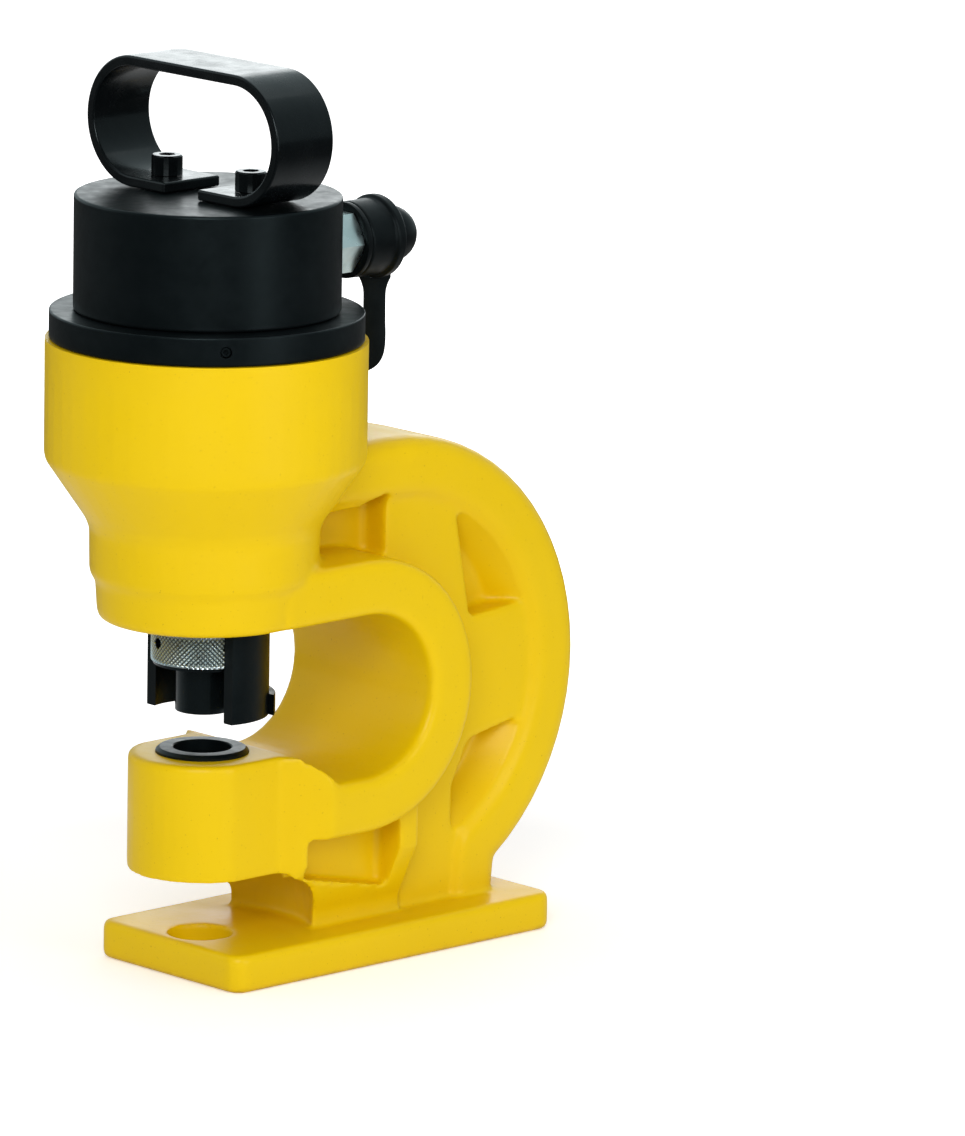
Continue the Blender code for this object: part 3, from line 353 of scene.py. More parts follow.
class Shader:
    """A Principled material whose inputs can be fed by small node chains."""

    def __init__(self, name, color, roughness, metallic=0.0, coat=0.0, coat_roughness=0.1):
        self.material = bpy.data.materials.new(name)
        self.material.use_nodes = True
        self.tree = self.material.node_tree
        self.surface = self.tree.nodes["Principled BSDF"]
        self.surface.inputs["Base Color"].default_value = (*color, 1.0)
        self.surface.inputs["Roughness"].default_value = roughness
        self.surface.inputs["Metallic"].default_value = metallic
        self.surface.inputs["Coat Weight"].default_value = coat
        self.surface.inputs["Coat Roughness"].default_value = coat_roughness
        self.place = self.tree.nodes.new("ShaderNodeTexCoord").outputs["Object"]
        self.bump = None

    def node(self, kind, **settings):
        made = self.tree.nodes.new(kind)
        for key, value in settings.items():
            setattr(made, key, value)
        return made

    def wire(self, out, into):
        self.tree.links.new(out, into)

    def noise(self, scale, detail=3.0, roughness=0.5, stretch=(1.0, 1.0, 1.0)):
        mapping = self.node("ShaderNodeMapping")
        mapping.inputs["Scale"].default_value = stretch
        self.wire(self.place, mapping.inputs["Vector"])
        noise = self.node("ShaderNodeTexNoise")
        noise.inputs["Scale"].default_value = scale
        noise.inputs["Detail"].default_value = detail
        noise.inputs["Roughness"].default_value = roughness
        self.wire(mapping.outputs["Vector"], noise.inputs["Vector"])
        return noise.outputs["Fac"]

    def ranged(self, value, low, high, out_low=0.0, out_high=1.0):
        node = self.node("ShaderNodeMapRange")
        node.inputs["From Min"].default_value = low
        node.inputs["From Max"].default_value = high
        node.inputs["To Min"].default_value = out_low
        node.inputs["To Max"].default_value = out_high
        self.wire(value, node.inputs["Value"])
        return node.outputs["Result"]

    def mixed(self, factor, first, second):
        mix = self.node("ShaderNodeMix", data_type="RGBA")
        self.wire(factor, mix.inputs["Factor"])
        for socket, value in ((mix.inputs[6], first), (mix.inputs[7], second)):
            if isinstance(value, tuple):
                socket.default_value = (*value, 1.0)
            else:
                self.wire(value, socket)
        return mix.outputs[2]

    def add_bump(self, height, distance, strength=1.0):
        bump = self.node("ShaderNodeBump")
        bump.inputs["Distance"].default_value = distance
        bump.inputs["Strength"].default_value = strength
        self.wire(height, bump.inputs["Height"])
        if self.bump is not None:
            self.wire(self.bump, bump.inputs["Normal"])
        self.bump = bump.outputs["Normal"]

    def finish(self, color=None, roughness=None):
        if color is not None:
            self.wire(color, self.surface.inputs["Base Color"])
        if roughness is not None:
            self.wire(roughness, self.surface.inputs["Roughness"])
        if self.bump is not None:
            self.wire(self.bump, self.surface.inputs["Normal"])
        return self.material


def yellow_paint():
    """Glossy enamel over a cast skin, with painted shade in the hollows and painted shade mixed with patchy
    dirt in the creases.
    """
    paint = Shader("cast_yellow_paint", (0.80, 0.55, 0.001), 0.36, coat=0.04, coat_roughness=0.14)
    paint.surface.inputs["Specular IOR Level"].default_value = 0.17
    cloud = paint.ranged(paint.noise(7.0, 3.0), 0.3, 0.7)
    base = paint.mixed(cloud, (0.790, 0.530, 0.0006), (0.840, 0.570, 0.0012))
    # Painted shade: where the wide ambient occlusion finds a hollow, the yellow is darkened towards a deeper
    # tone.
    wide = paint.node("ShaderNodeAmbientOcclusion", samples=8)
    wide.inputs["Distance"].default_value = 45 * MM
    hollow_shade = paint.ranged(wide.outputs["AO"], 0.20, 0.80, 0.60, 0.0)
    color = paint.mixed(hollow_shade, base, (0.72, 0.455, 0.0003))
    # Painted shade in the creases, broken up by patchy dirt: the tight ambient occlusion darkens the paint
    # towards dark brown.
    tight = paint.node("ShaderNodeAmbientOcclusion", samples=6)
    tight.inputs["Distance"].default_value = 6 * MM
    crease_shade = paint.ranged(tight.outputs["AO"], 0.30, 0.75, 1.0, 0.0)
    patchy_grime_and_shade = paint.ranged(paint.noise(190.0, 4.0, 0.6), 0.38, 0.62, 0.05, 0.40)
    crease_shade_and_grime = paint.node("ShaderNodeMath", operation="MULTIPLY")
    paint.wire(crease_shade, crease_shade_and_grime.inputs[0])
    paint.wire(patchy_grime_and_shade, crease_shade_and_grime.inputs[1])
    color = paint.mixed(crease_shade_and_grime.outputs["Value"], color, (0.40, 0.21, 0.001))
    speck = paint.ranged(paint.noise(900.0, 2.0, 0.5), 0.71, 0.75)
    color = paint.mixed(speck, color, (0.56, 0.33, 0.002))
    roughness = paint.ranged(paint.noise(35.0, 4.0), 0.3, 0.7, 0.31, 0.42)
    paint.add_bump(paint.noise(70.0, 2.0), 0.60 * MM, 0.5)
    paint.add_bump(paint.noise(430.0, 3.0), 0.10 * MM, 0.6)
    return paint.finish(color, roughness)


def black_steel(name="satin_black_steel", level=0.17, low=0.28, high=0.42):
    """Blackened steel with fine turning marks and a few paler scuffs."""
    steel = Shader(name, (0.003, 0.0045, 0.005), 0.30)
    steel.surface.inputs["Specular IOR Level"].default_value = level
    steel.surface.inputs["Specular Tint"].default_value = (0.70, 0.95, 1.0, 1.0)
    cloud = steel.ranged(steel.noise(24.0, 4.0), 0.3, 0.7)
    color = steel.mixed(cloud, (0.0022, 0.0036, 0.0042), (0.0042, 0.0060, 0.0068))
    scuff = steel.ranged(steel.noise(330.0, 5.0, 0.65, (1.0, 1.0, 0.25)), 0.68, 0.78, 0.0, 0.35)
    color = steel.mixed(scuff, color, (0.014, 0.017, 0.019))
    roughness = steel.ranged(steel.noise(120.0, 4.0, 0.6), 0.3, 0.7, low, high)
    steel.add_bump(steel.noise(1400.0, 2.0, 0.5, (0.4, 0.4, 8.0)), 0.03 * MM, 0.5)
    steel.add_bump(steel.noise(220.0, 3.0), 0.05 * MM, 0.5)
    return steel.finish(color, roughness)


def gloss_black():
    paint = Shader("gloss_black_enamel", (0.002, 0.0028, 0.0032), 0.20, coat=0.08, coat_roughness=0.08)
    paint.surface.inputs["Specular IOR Level"].default_value = 0.22
    paint.surface.inputs["Specular Tint"].default_value = (0.78, 0.96, 1.0, 1.0)
    cloud = paint.ranged(paint.noise(40.0, 3.0), 0.3, 0.7)
    color = paint.mixed(cloud, (0.0014, 0.0022, 0.0026), (0.0034, 0.0044, 0.0050))
    roughness = paint.ranged(paint.noise(90.0, 3.0), 0.3, 0.7, 0.19, 0.30)
    paint.add_bump(paint.noise(110.0, 2.0), 0.18 * MM, 0.5)
    paint.add_bump(paint.noise(900.0, 2.0), 0.02 * MM, 0.5)
    return paint.finish(color, roughness)


def machined_steel(name="machined_steel", color=(0.40, 0.44, 0.45), low=0.26, high=0.40):
    steel = Shader(name, color, 0.32, metallic=1.0)
    streak = steel.ranged(steel.noise(700.0, 3.0, 0.6, (1.0, 1.0, 9.0)), 0.35, 0.65)
    darker = tuple(channel * 0.78 for channel in color)
    tone = steel.mixed(streak, darker, color)
    roughness = steel.ranged(steel.noise(240.0, 3.0), 0.3, 0.7, low, high)
    steel.add_bump(steel.noise(1600.0, 2.0, 0.5, (1.0, 1.0, 8.0)), 0.02 * MM, 0.6)
    return steel.finish(tone, roughness)


def knurled_steel():
    """Painted shade in the grooves and a painted highlight on the crests, told apart by their distance from
    the nut's axis.
    """
    steel = Shader("knurled_steel", (0.50, 0.55, 0.56), 0.30, metallic=1.0)
    offset = steel.node("ShaderNodeVectorMath", operation="SUBTRACT")
    offset.inputs[1].default_value = (0.0, RAM_Y, 0.0)
    steel.wire(steel.place, offset.inputs[0])
    flat = steel.node("ShaderNodeVectorMath", operation="MULTIPLY")
    flat.inputs[1].default_value = (1.0, 1.0, 0.0)
    steel.wire(offset.outputs["Vector"], flat.inputs[0])
    length = steel.node("ShaderNodeVectorMath", operation="LENGTH")
    steel.wire(flat.outputs["Vector"], length.inputs[0])
    outer = (NUT_HIGH[0] - NUT_LOW[0]) / 2
    # Painted shade and highlight: near-black steel in the knurl's grooves, bright pale steel on the diamonds'
    # tops.
    groove_shade_and_crest_highlight = steel.ranged(length.outputs["Value"], outer - KNURL_DEPTH, outer - KNURL_DEPTH * 0.15)
    color = steel.mixed(groove_shade_and_crest_highlight, (0.024, 0.032, 0.036), (0.66, 0.78, 0.80))
    roughness = steel.ranged(steel.noise(240.0, 3.0), 0.3, 0.7, 0.24, 0.38)
    steel.add_bump(steel.noise(1600.0, 2.0, 0.5), 0.02 * MM, 0.6)
    return steel.finish(color, roughness)


def zinc_plate():
    """Smooth pale plating with a faint cloud."""
    zinc = Shader("zinc_plate", (0.66, 0.76, 0.77), 0.30, metallic=1.0)
    cloud = zinc.ranged(zinc.noise(150.0, 3.0), 0.3, 0.7)
    color = zinc.mixed(cloud, (0.62, 0.78, 0.78), (0.72, 0.86, 0.86))
    roughness = zinc.ranged(zinc.noise(260.0, 3.0), 0.3, 0.7, 0.26, 0.38)
    zinc.add_bump(zinc.noise(500.0, 2.0), 0.02 * MM, 0.4)
    return zinc.finish(color, roughness)


def spring_steel():
    return machined_steel("oiled_spring_steel", (0.20, 0.205, 0.21), 0.28, 0.40)


def bronze():
    metal = Shader("bearing_bronze", (0.52, 0.33, 0.13), 0.34, metallic=1.0)
    cloud = metal.ranged(metal.noise(60.0, 4.0), 0.3, 0.7)
    color = metal.mixed(cloud, (0.42, 0.25, 0.09), (0.58, 0.38, 0.16))
    metal.add_bump(metal.noise(900.0, 2.0), 0.02 * MM, 0.5)
    return metal.finish(color)


def black_rubber():
    """Moulded rubber: dull, very slightly dusty, with a fine skin."""
    rubber = Shader("moulded_black_rubber", (0.003, 0.004, 0.0045), 0.38)
    rubber.surface.inputs["Specular IOR Level"].default_value = 0.14
    rubber.surface.inputs["Specular Tint"].default_value = (0.75, 0.95, 1.0, 1.0)
    cloud = rubber.ranged(rubber.noise(70.0, 4.0), 0.3, 0.7)
    color = rubber.mixed(cloud, (0.0018, 0.0028, 0.0032), (0.0048, 0.0060, 0.0064))
    roughness = rubber.ranged(rubber.noise(160.0, 3.0), 0.3, 0.7, 0.34, 0.50)
    rubber.add_bump(rubber.noise(1100.0, 3.0), 0.05 * MM, 0.6)
    return rubber.finish(color, roughness)


def seal_rubber():
    rubber = Shader("seal_rubber", (0.03, 0.035, 0.045), 0.45)
    cloud = rubber.ranged(rubber.noise(120.0, 3.0), 0.3, 0.7)
    return rubber.finish(rubber.mixed(cloud, (0.024, 0.028, 0.036), (0.040, 0.046, 0.058)))


FINISHES = {
    "yellow_paint": yellow_paint(),
    "black_steel": black_steel(),
    "black_gloss": gloss_black(),
    "bright_steel": machined_steel(),
    "zinc_plate": zinc_plate(),
    "spring_steel": spring_steel(),
    "bronze": bronze(),
    "black_rubber": black_rubber(),
    "seal_rubber": seal_rubber(),
}
KNURLED = knurled_steel()
HONED = black_steel("honed_black_steel", 0.5, 0.14, 0.20)


def dress(obj, slot):
    """Gives an object one finish."""
    if not obj.material_slots:
        obj.data.materials.append(None)
    for holder in obj.material_slots:
        holder.material = FINISHES[slot]
    return obj


def dress_nodes():
    """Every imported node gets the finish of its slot, and the machined ones softer edges."""
    for entry in frame["record"]["subparts"]:
        node = nodes[entry["node"]]
        dress(node, entry["material_slot"])
        width = EDGE_WIDTHS.get(entry["node"])
        if width:
            bevel = node.modifiers.new("soft_edge", "BEVEL")
            bevel.width = width
            bevel.segments = 2
            bevel.limit_method = "ANGLE"
            bevel.angle_limit = SHARP_ANGLE
            bevel.harden_normals = True


def ram_lathe(name, profile, steps=BORE_STEPS, closed=False, smooth=True):
    return lathe(name, profile, steps, (0.0, RAM_Y), closed, smooth)


def installed(obj, old, slot, body):
    """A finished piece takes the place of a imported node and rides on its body."""
    even_normals(obj)
    dress(obj, slot)
    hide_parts(old)
    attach(obj, body)
    return obj


def cut_away(obj, *tools):
    for tool in tools:
        boolean(obj, tool, "DIFFERENCE")
    baked(obj, obj.name)
    remove(*tools)
    return obj


def bar(name, radius, near, far, turn, height, steps=48):
    """A round bar from one distance to another along a level direction from the ram's axis."""
    rod = lathe(name, [(0.0, far), (radius, far), (radius, near), (0.0, near)], steps)
    place = Vector((0.0, RAM_Y, height))
    spin = Matrix.Rotation(turn, 4, "Z") @ Matrix.Rotation(math.radians(90), 4, "Y")
    rod.matrix_world = Matrix.Translation(place) @ spin
    return rod


def slab(name, low, high):
    shape = bmesh.new()
    bmesh.ops.create_cube(shape, size=1.0)
    size = Vector(high) - Vector(low)
    bmesh.ops.scale(shape, vec=size, verts=shape.verts)
    bmesh.ops.translate(shape, vec=(Vector(high) + Vector(low)) / 2, verts=shape.verts)
    return new_object(name, shape, smooth=False)


def extruded(name, outline, near, far):
    """A strip whose side view is an outline of (x, z) points, from one y to another."""
    shape = bmesh.new()
    rings = []
    for y in (near, far):
        rings.append([shape.verts.new((x, y, z)) for x, z in outline])
    shape.faces.new(rings[0])
    shape.faces.new(rings[1][::-1])
    for i in range(len(outline)):
        j = (i + 1) % len(outline)
        shape.faces.new((rings[0][i], rings[1][i], rings[1][j], rings[0][j]))
    return new_object(name, shape, smooth=False)


def rounded(obj, width, segments=3):
    bevel = obj.modifiers.new("rounded", "BEVEL")
    bevel.width = width
    bevel.segments = segments
    bevel.limit_method = "ANGLE"
    bevel.angle_limit = math.radians(50)
    return baked(obj, obj.name)


def bore_tools():
    """Crisp cutters for the machined seats, cut after the casting is softened."""
    upper = [
        (0.0, CUP_TOP + 3 * CUP_EXTRA),
        (CUP_RADIUS + CUP_EXTRA, CUP_TOP + 3 * CUP_EXTRA),
        (CUP_RADIUS + CUP_EXTRA, CUP_TOP),
        (HEAD_SEAT_RADIUS, CUP_TOP),
        (HEAD_SEAT_RADIUS, HEAD_SEAT_BOTTOM),
        (CYLINDER_RADIUS, HEAD_SEAT_BOTTOM),
        (CYLINDER_RADIUS, CYLINDER_FLOOR),
        (ROD_BORE_RADIUS, CYLINDER_FLOOR),
        (ROD_BORE_RADIUS, STRIPPER_SEAT_TOP),
        (STRIPPER_SEAT_RADIUS, STRIPPER_SEAT_TOP),
        (STRIPPER_SEAT_RADIUS, NOSE_BOTTOM - OVERRUN),
        (0.0, NOSE_BOTTOM - OVERRUN),
    ]
    lower = [
        (0.0, JAW_TOP + OVERRUN),
        (DIE_SEAT_RADIUS, JAW_TOP + OVERRUN),
        (DIE_SEAT_RADIUS, DIE_LOW[2]),
        (SLUG_RADIUS, DIE_LOW[2]),
        (SLUG_RADIUS, JAW_BOTTOM - OVERRUN),
        (0.0, JAW_BOTTOM - OVERRUN),
    ]
    tools = [ram_lathe("upper_tool", upper), ram_lathe("lower_tool", lower)]
    for i, (radius, height, surface, depth) in enumerate(SIDE_HOLES):
        tools.append(bar(f"side_tool_{i}", radius, depth, surface + CUP_EXTRA, math.pi, height))
    return tools


def sector(name, outline, side):
    """A ring's sector round the rim's axis, from an outline of (radius, half width) points."""
    shape = bmesh.new()
    rings = []
    first, last = RIM_SECTOR
    for i in range(RIM_SECTOR_STEPS + 1):
        angle = first + (last - first) * i / RIM_SECTOR_STEPS
        ring = []
        for radius, across in outline:
            y = RAM_Y + RIM_CENTRE[0] + radius * math.cos(angle)
            ring.append(shape.verts.new((side * across, y, RIM_CENTRE[1] + radius * math.sin(angle))))
        rings.append(ring)
    shape.faces.new(rings[0])
    shape.faces.new(rings[-1][::-1])
    for before, after in zip(rings, rings[1:]):
        for i in range(len(outline)):
            j = (i + 1) % len(outline)
            shape.faces.new((before[i], after[i], after[j], before[j]))
    return new_object(name, shape, smooth=False)


def pocket_roof(side):
    """The cutter that raises the front pocket's roof towards the column on one side."""
    outline = [(RAM_Y + back, height) for back, height in FRONT_POCKET_ROOF]
    ends = sorted((-side * FRONT_POCKET_FLOOR, -side * FRONT_POCKET_REACH))
    tool = extruded(f"pocket_roof_{side + 1}", outline, *ends)
    tool.data.transform(Matrix.Rotation(math.radians(90), 4, "Z"))
    return tool


def cast_frame():
    """The casting with soft fillets: bores plugged, remeshed, smoothed, and the bores cut again."""
    cast = link(bpy.data.objects.new("cast_frame", nodes["c_frame"].data.copy()))
    plugs = [
        ram_lathe("cup_plug", [
            (0.0, CUP_TOP + CUP_EXTRA),
            (CUP_RADIUS, CUP_TOP + CUP_EXTRA),
            (CUP_RADIUS, CUP_TOP - CUP_EXTRA),
            (ROD_BORE_RADIUS * 2, CYLINDER_FLOOR),
            (ROD_BORE_RADIUS * 2, NOSE_BOTTOM + SKIN),
            (0.0, NOSE_BOTTOM + SKIN),
        ]),
        ram_lathe("die_plug", [
            (0.0, JAW_TOP - SKIN),
            (DIE_SEAT_RADIUS + OVERRUN, JAW_TOP - SKIN),
            (DIE_SEAT_RADIUS + OVERRUN, JAW_BOTTOM + SKIN),
            (0.0, JAW_BOTTOM + SKIN),
        ]),
    ]
    for i, (radius, height, surface, depth) in enumerate(SIDE_HOLES):
        plugs.append(bar(f"side_plug_{i}", radius + MM, depth + OVERRUN, surface, math.pi, height))
    plugs += [sector(f"flank_{side + 1}", FLANK_FILL, side) for side in (-1, 1)]
    (near, front, low), (far, back, high) = POCKET_WALL
    plugs.append(slab("wall_right", (near, front, low), (far, back, high)))
    plugs.append(slab("wall_left", (-far, front, low), (-near, back, high)))
    for plug in plugs:
        boolean(cast, plug, "UNION")
    baked(cast, "cast_frame")
    cut_away(cast, *[sector(f"flank_cut_{side + 1}", FLANK_CUT, side) for side in (-1, 1)])
    cut_away(cast, *[pocket_roof(side) for side in (-1, 1)])
    remesh = cast.modifiers.new("remesh", "REMESH")
    remesh.mode = "VOXEL"
    remesh.voxel_size = CAST_VOXEL
    smooth = cast.modifiers.new("smooth", "SMOOTH")
    smooth.factor = 0.5
    smooth.iterations = CAST_SMOOTH_STEPS
    baked(cast, "cast_frame")
    remove(*plugs)
    cut_away(cast, *bore_tools())
    cast.data.shade_smooth()
    cast.data.set_sharp_from_angle(angle=SHARP_ANGLE)
    dress(cast, "yellow_paint")
    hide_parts("c_frame")
    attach(cast, "frame")


def coil_spring():
    """The return spring, copied as imported and carried by the frame."""
    spring = link(bpy.data.objects.new("coil_spring", nodes["return_spring"].data.copy()))
    dress(spring, "spring_steel")
    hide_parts("return_spring")
    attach(spring, "frame")
    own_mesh(spring)


def head_cap():
    """The black cylinder head, turned, with the spotface and port at its back."""
    top = HEAD_HIGH[2]
    shoulder = RING_HIGH[2] + 0.3 * MM
    outline = filleted([(0.0, top), (HEAD_RADIUS, top), (HEAD_RADIUS, shoulder), (HEAD_SKIRT, shoulder)],
                       HEAD_FILLET)
    outline += [(HEAD_SKIRT, HEAD_LOW[2]), (CYLINDER_RADIUS, HEAD_LOW[2]), (CYLINDER_RADIUS, HEAD_CEILING),
                (0.0, HEAD_CEILING)]
    head = ram_lathe("head_cap", outline, ROUND_STEPS)
    back = math.radians(90)
    cut_away(
        head,
        bar("spotface", PORT_RADIUS, PORT_FACE, HEAD_RADIUS + OVERRUN, back, PORT_HEIGHT, steps=64),
        bar("port", PORT_RADIUS * 0.6, HEAD_SKIRT, HEAD_RADIUS + OVERRUN, back, PORT_HEIGHT),
    )
    installed(head, "cylinder_head", "black_steel", "frame")


def collar_ring():
    """The lock ring with the hole for its set screw."""
    radius = (RING_HIGH[0] - RING_LOW[0]) / 2
    low, high = RING_LOW[2], RING_HIGH[2]
    inner = HEAD_SEAT_RADIUS + 0.3 * MM
    outline = [(inner, high)] + filleted([(inner, high), (radius, high), (radius, low), (inner, low)],
                                         RING_FILLET)[1:]
    ring = ram_lathe("collar_ring", outline, ROUND_STEPS, closed=True)
    cut_away(ring, bar("ring_hole", RING_SCREW_RADIUS, inner, radius + OVERRUN, RING_SCREW_TURN,
                       (low + high) / 2, steps=32))
    installed(ring, "lock_ring", "black_steel", "frame")


def handle_loop():
    """The flat strip bent to a loop, with softly broken edges."""
    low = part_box("carry_handle")[0][2]
    radius = HANDLE_HEIGHT / 2
    middle = HANDLE_HALF_LENGTH - radius
    centre = low + radius
    path = [(HANDLE_GAP, low)]
    inner = []
    for i in range(41):
        angle = math.radians(-90 + 180 * i / 40)
        path.append((middle + radius * math.cos(angle), centre + radius * math.sin(angle)))
        reach = radius - HANDLE_THICKNESS
        inner.append((middle + reach * math.cos(angle), centre + reach * math.sin(angle)))
    inner = inner[::-1] + [(HANDLE_GAP, low + HANDLE_THICKNESS)]
    outline = path + [(-x, z) for x, z in reversed(path)]
    outline += [(-x, z) for x, z in reversed(inner)] + inner
    loop = extruded("handle_loop", outline, RAM_Y - HANDLE_WIDTH / 2, RAM_Y + HANDLE_WIDTH / 2)
    rounded(loop, HANDLE_EDGE)
    tools = []
    for side in (-1, 1):
        tool = lathe(f"strip_hole_{side + 1}", [
            (0.0, low + 2 * HANDLE_THICKNESS),
            (SCREW_HOLE, low + 2 * HANDLE_THICKNESS),
            (SCREW_HOLE, low - OVERRUN),
            (0.0, low - OVERRUN),
        ], 48, (side * HANDLE_SCREW_X, RAM_Y))
        tools.append(tool)
    cut_away(loop, *tools)
    installed(loop, "carry_handle", "black_gloss", "frame")


def die_ring():
    top, low = DIE_HIGH[2], DIE_LOW[2]
    radius = (DIE_HIGH[0] - DIE_LOW[0]) / 2
    outline = [(DIE_HOLE_RADIUS + 0.6 * MM, top), (DIE_RIM_RADIUS - 0.4 * MM, top)]
    outline += [(DIE_RIM_RADIUS, top - 0.2 * MM), (radius, top - 1.6 * MM), (radius, low)]
    outline += [(DIE_RELIEF_RADIUS, low), (DIE_RELIEF_RADIUS, top - DIE_LAND)]
    outline += [(DIE_HOLE_RADIUS, top - DIE_LAND), (DIE_HOLE_RADIUS, top - 0.5 * MM)]
    installed(ram_lathe("die_ring", outline, ROUND_STEPS, closed=True), "die", "black_steel", "frame")


def punch_tool():
    """The punch with its centring pip."""
    low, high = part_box("punch")
    bottom = low[2] + PIP_HEIGHT
    collar = NUT_LOW[2] + NUT_LIP + 0.3 * MM
    outline = [(0.0, high[2])] + filleted([(0.0, high[2]), (RAM_RADIUS, high[2]), (RAM_RADIUS, collar),
                                           (PUNCH_RADIUS, collar)], 0.5 * MM)[1:]
    outline += [(PUNCH_RADIUS, bottom + 0.5 * MM), (PUNCH_RADIUS - 0.15 * MM, bottom + 0.15 * MM)]
    outline += [(PUNCH_RADIUS - 0.5 * MM, bottom), (PIP_BASE, bottom), (PIP_RADIUS, low[2] + 0.2 * MM)]
    outline += [(PIP_RADIUS - 0.3 * MM, low[2]), (0.0, low[2])]
    punch = ram_lathe("punch_tool", outline, ROUND_STEPS)
    installed(punch, "punch", "black_steel", "punch")
    for holder in punch.material_slots:
        holder.material = HONED


def stripper_sleeve():
    """The sleeve cut open at the front, with the lip round its foot at the back."""
    low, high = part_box("stripper")
    bottom, top = low[2], high[2]
    sleeve = ram_lathe("stripper_sleeve", filleted([
        (STRIPPER_OUTER, top), (STRIPPER_OUTER, bottom), (STRIPPER_INNER, bottom), (STRIPPER_INNER, top),
    ], STRIPPER_EDGE, 3, closed=True), ROUND_STEPS, closed=True)
    foot_top = bottom + STRIPPER_FOOT_HEIGHT
    foot = ram_lathe("stripper_foot", filleted([
        (STRIPPER_FOOT, foot_top), (STRIPPER_FOOT, bottom + STRIPPER_EDGE / 2),
        (STRIPPER_OUTER - MM, bottom + STRIPPER_EDGE / 2), (STRIPPER_OUTER - MM, foot_top),
    ], STRIPPER_EDGE, 3, closed=True), ROUND_STEPS, closed=True)
    reach = STRIPPER_FOOT + OVERRUN
    cut_away(foot, slab("foot_trim", (-reach, RAM_Y - reach, bottom - OVERRUN),
                        (reach, RAM_Y + STRIPPER_FOOT_FRONT, foot_top + OVERRUN)))
    boolean(sleeve, foot, "UNION")
    baked(sleeve, "stripper_sleeve")
    remove(foot)
    cut_away(sleeve, slab("mouth", (-reach, RAM_Y - reach, bottom - OVERRUN),
                          (reach, RAM_Y + STRIPPER_FRONT, NOSE_BOTTOM - 0.3 * MM)))
    installed(sleeve, "stripper", "black_steel", "frame")


def along_back(obj):
    """Lays a piece turned about Z along Y, on the coupler's axis."""
    spin = Matrix.Rotation(math.radians(-90), 4, "X")
    obj.data.transform(Matrix.Translation((0.0, RAM_Y, PORT_HEIGHT)) @ spin)
    return obj


def rubber_cap():
    """The moulded dust cap: skirt, disc and dome with soft corners."""
    dome = [(0.0, CAP_TIP)]
    for i in range(1, 9):
        angle = math.radians(90 * i / 9)
        dome.append((CAP_DOME * math.sin(angle), CAP_TIP - CAP_DOME * (1 - math.cos(angle))))
    body = filleted([
        (CAP_DOME, CAP_TIP - CAP_DOME),
        (CAP_DOME, CAP_DISC_END + MM),
        (CAP_DISC, CAP_DISC_END),
        (CAP_DISC, CAP_DISC_START),
        (CAP_SKIRT, CAP_DISC_START - MM),
        (CAP_SKIRT, CAP_START),
        (CAP_CAVITY, CAP_START),
    ], CAP_FILLET)
    outline = dome + body + [(CAP_CAVITY, CAP_CAVITY_END), (0.0, CAP_CAVITY_END)]
    cap = along_back(lathe("rubber_cap", outline, 96))
    installed(cap, "dust_cap", "black_rubber", "dust_cap")


def hex_adapter():
    """The plated adapter: a chamfered hexagon with its thread, neck and stub."""
    shape = bmesh.new()
    rings = []
    for place in (HEX_START, HEX_END):
        ring = []
        for i in range(6):
            angle = i * math.pi / 3
            ring.append(shape.verts.new((HEX_CORNER * math.cos(angle), HEX_CORNER * math.sin(angle), place)))
        rings.append(ring)
    shape.faces.new(rings[0])
    shape.faces.new(rings[1][::-1])
    for i in range(6):
        j = (i + 1) % 6
        shape.faces.new((rings[0][i], rings[1][i], rings[1][j], rings[0][j]))
    body = new_object("hex_adapter", shape, smooth=False)
    flat = HEX_CORNER * math.cos(math.pi / 6)
    drum = lathe("hex_drum", [
        (0.0, HEX_END), (flat, HEX_END), (HEX_CORNER, HEX_END - HEX_CHAMFER),
        (HEX_CORNER, HEX_START + HEX_CHAMFER), (flat, HEX_START), (0.0, HEX_START),
    ], ROUND_STEPS)
    boolean(body, drum, "INTERSECT")
    baked(body, "hex_adapter")
    ends = lathe("adapter_ends", [
        (0.0, STUB_END), (STUB_RADIUS, STUB_END), (STUB_RADIUS, NECK_END), (NECK_RADIUS, NECK_END),
        (NECK_RADIUS, HEX_END - MM), (THREAD_RADIUS, HEX_END - MM), (THREAD_RADIUS, THREAD_START),
        (0.0, THREAD_START),
    ], 96)
    boolean(body, ends, "UNION")
    baked(body, "hex_adapter")
    way = lathe("adapter_way", [
        (0.0, STUB_END + MM), (OIL_WAY, STUB_END + MM), (OIL_WAY, THREAD_START - MM), (0.0, THREAD_START - MM),
    ], 32)
    cut_away(body, way)
    remove(drum, ends)
    along_back(body)
    installed(body, "coupler_adapter", "zinc_plate", "frame")


def softened(points, rounds):
    """Cuts the corners of an open route, which keeps its two ends."""
    for _ in range(rounds):
        made = [points[0]]
        for (x0, y0), (x1, y1) in zip(points, points[1:]):
            made += [((3 * x0 + x1) / 4, (3 * y0 + y1) / 4), ((x0 + 3 * x1) / 4, (y0 + 3 * y1) / 4)]
        points = made + [points[-1]]
    return points


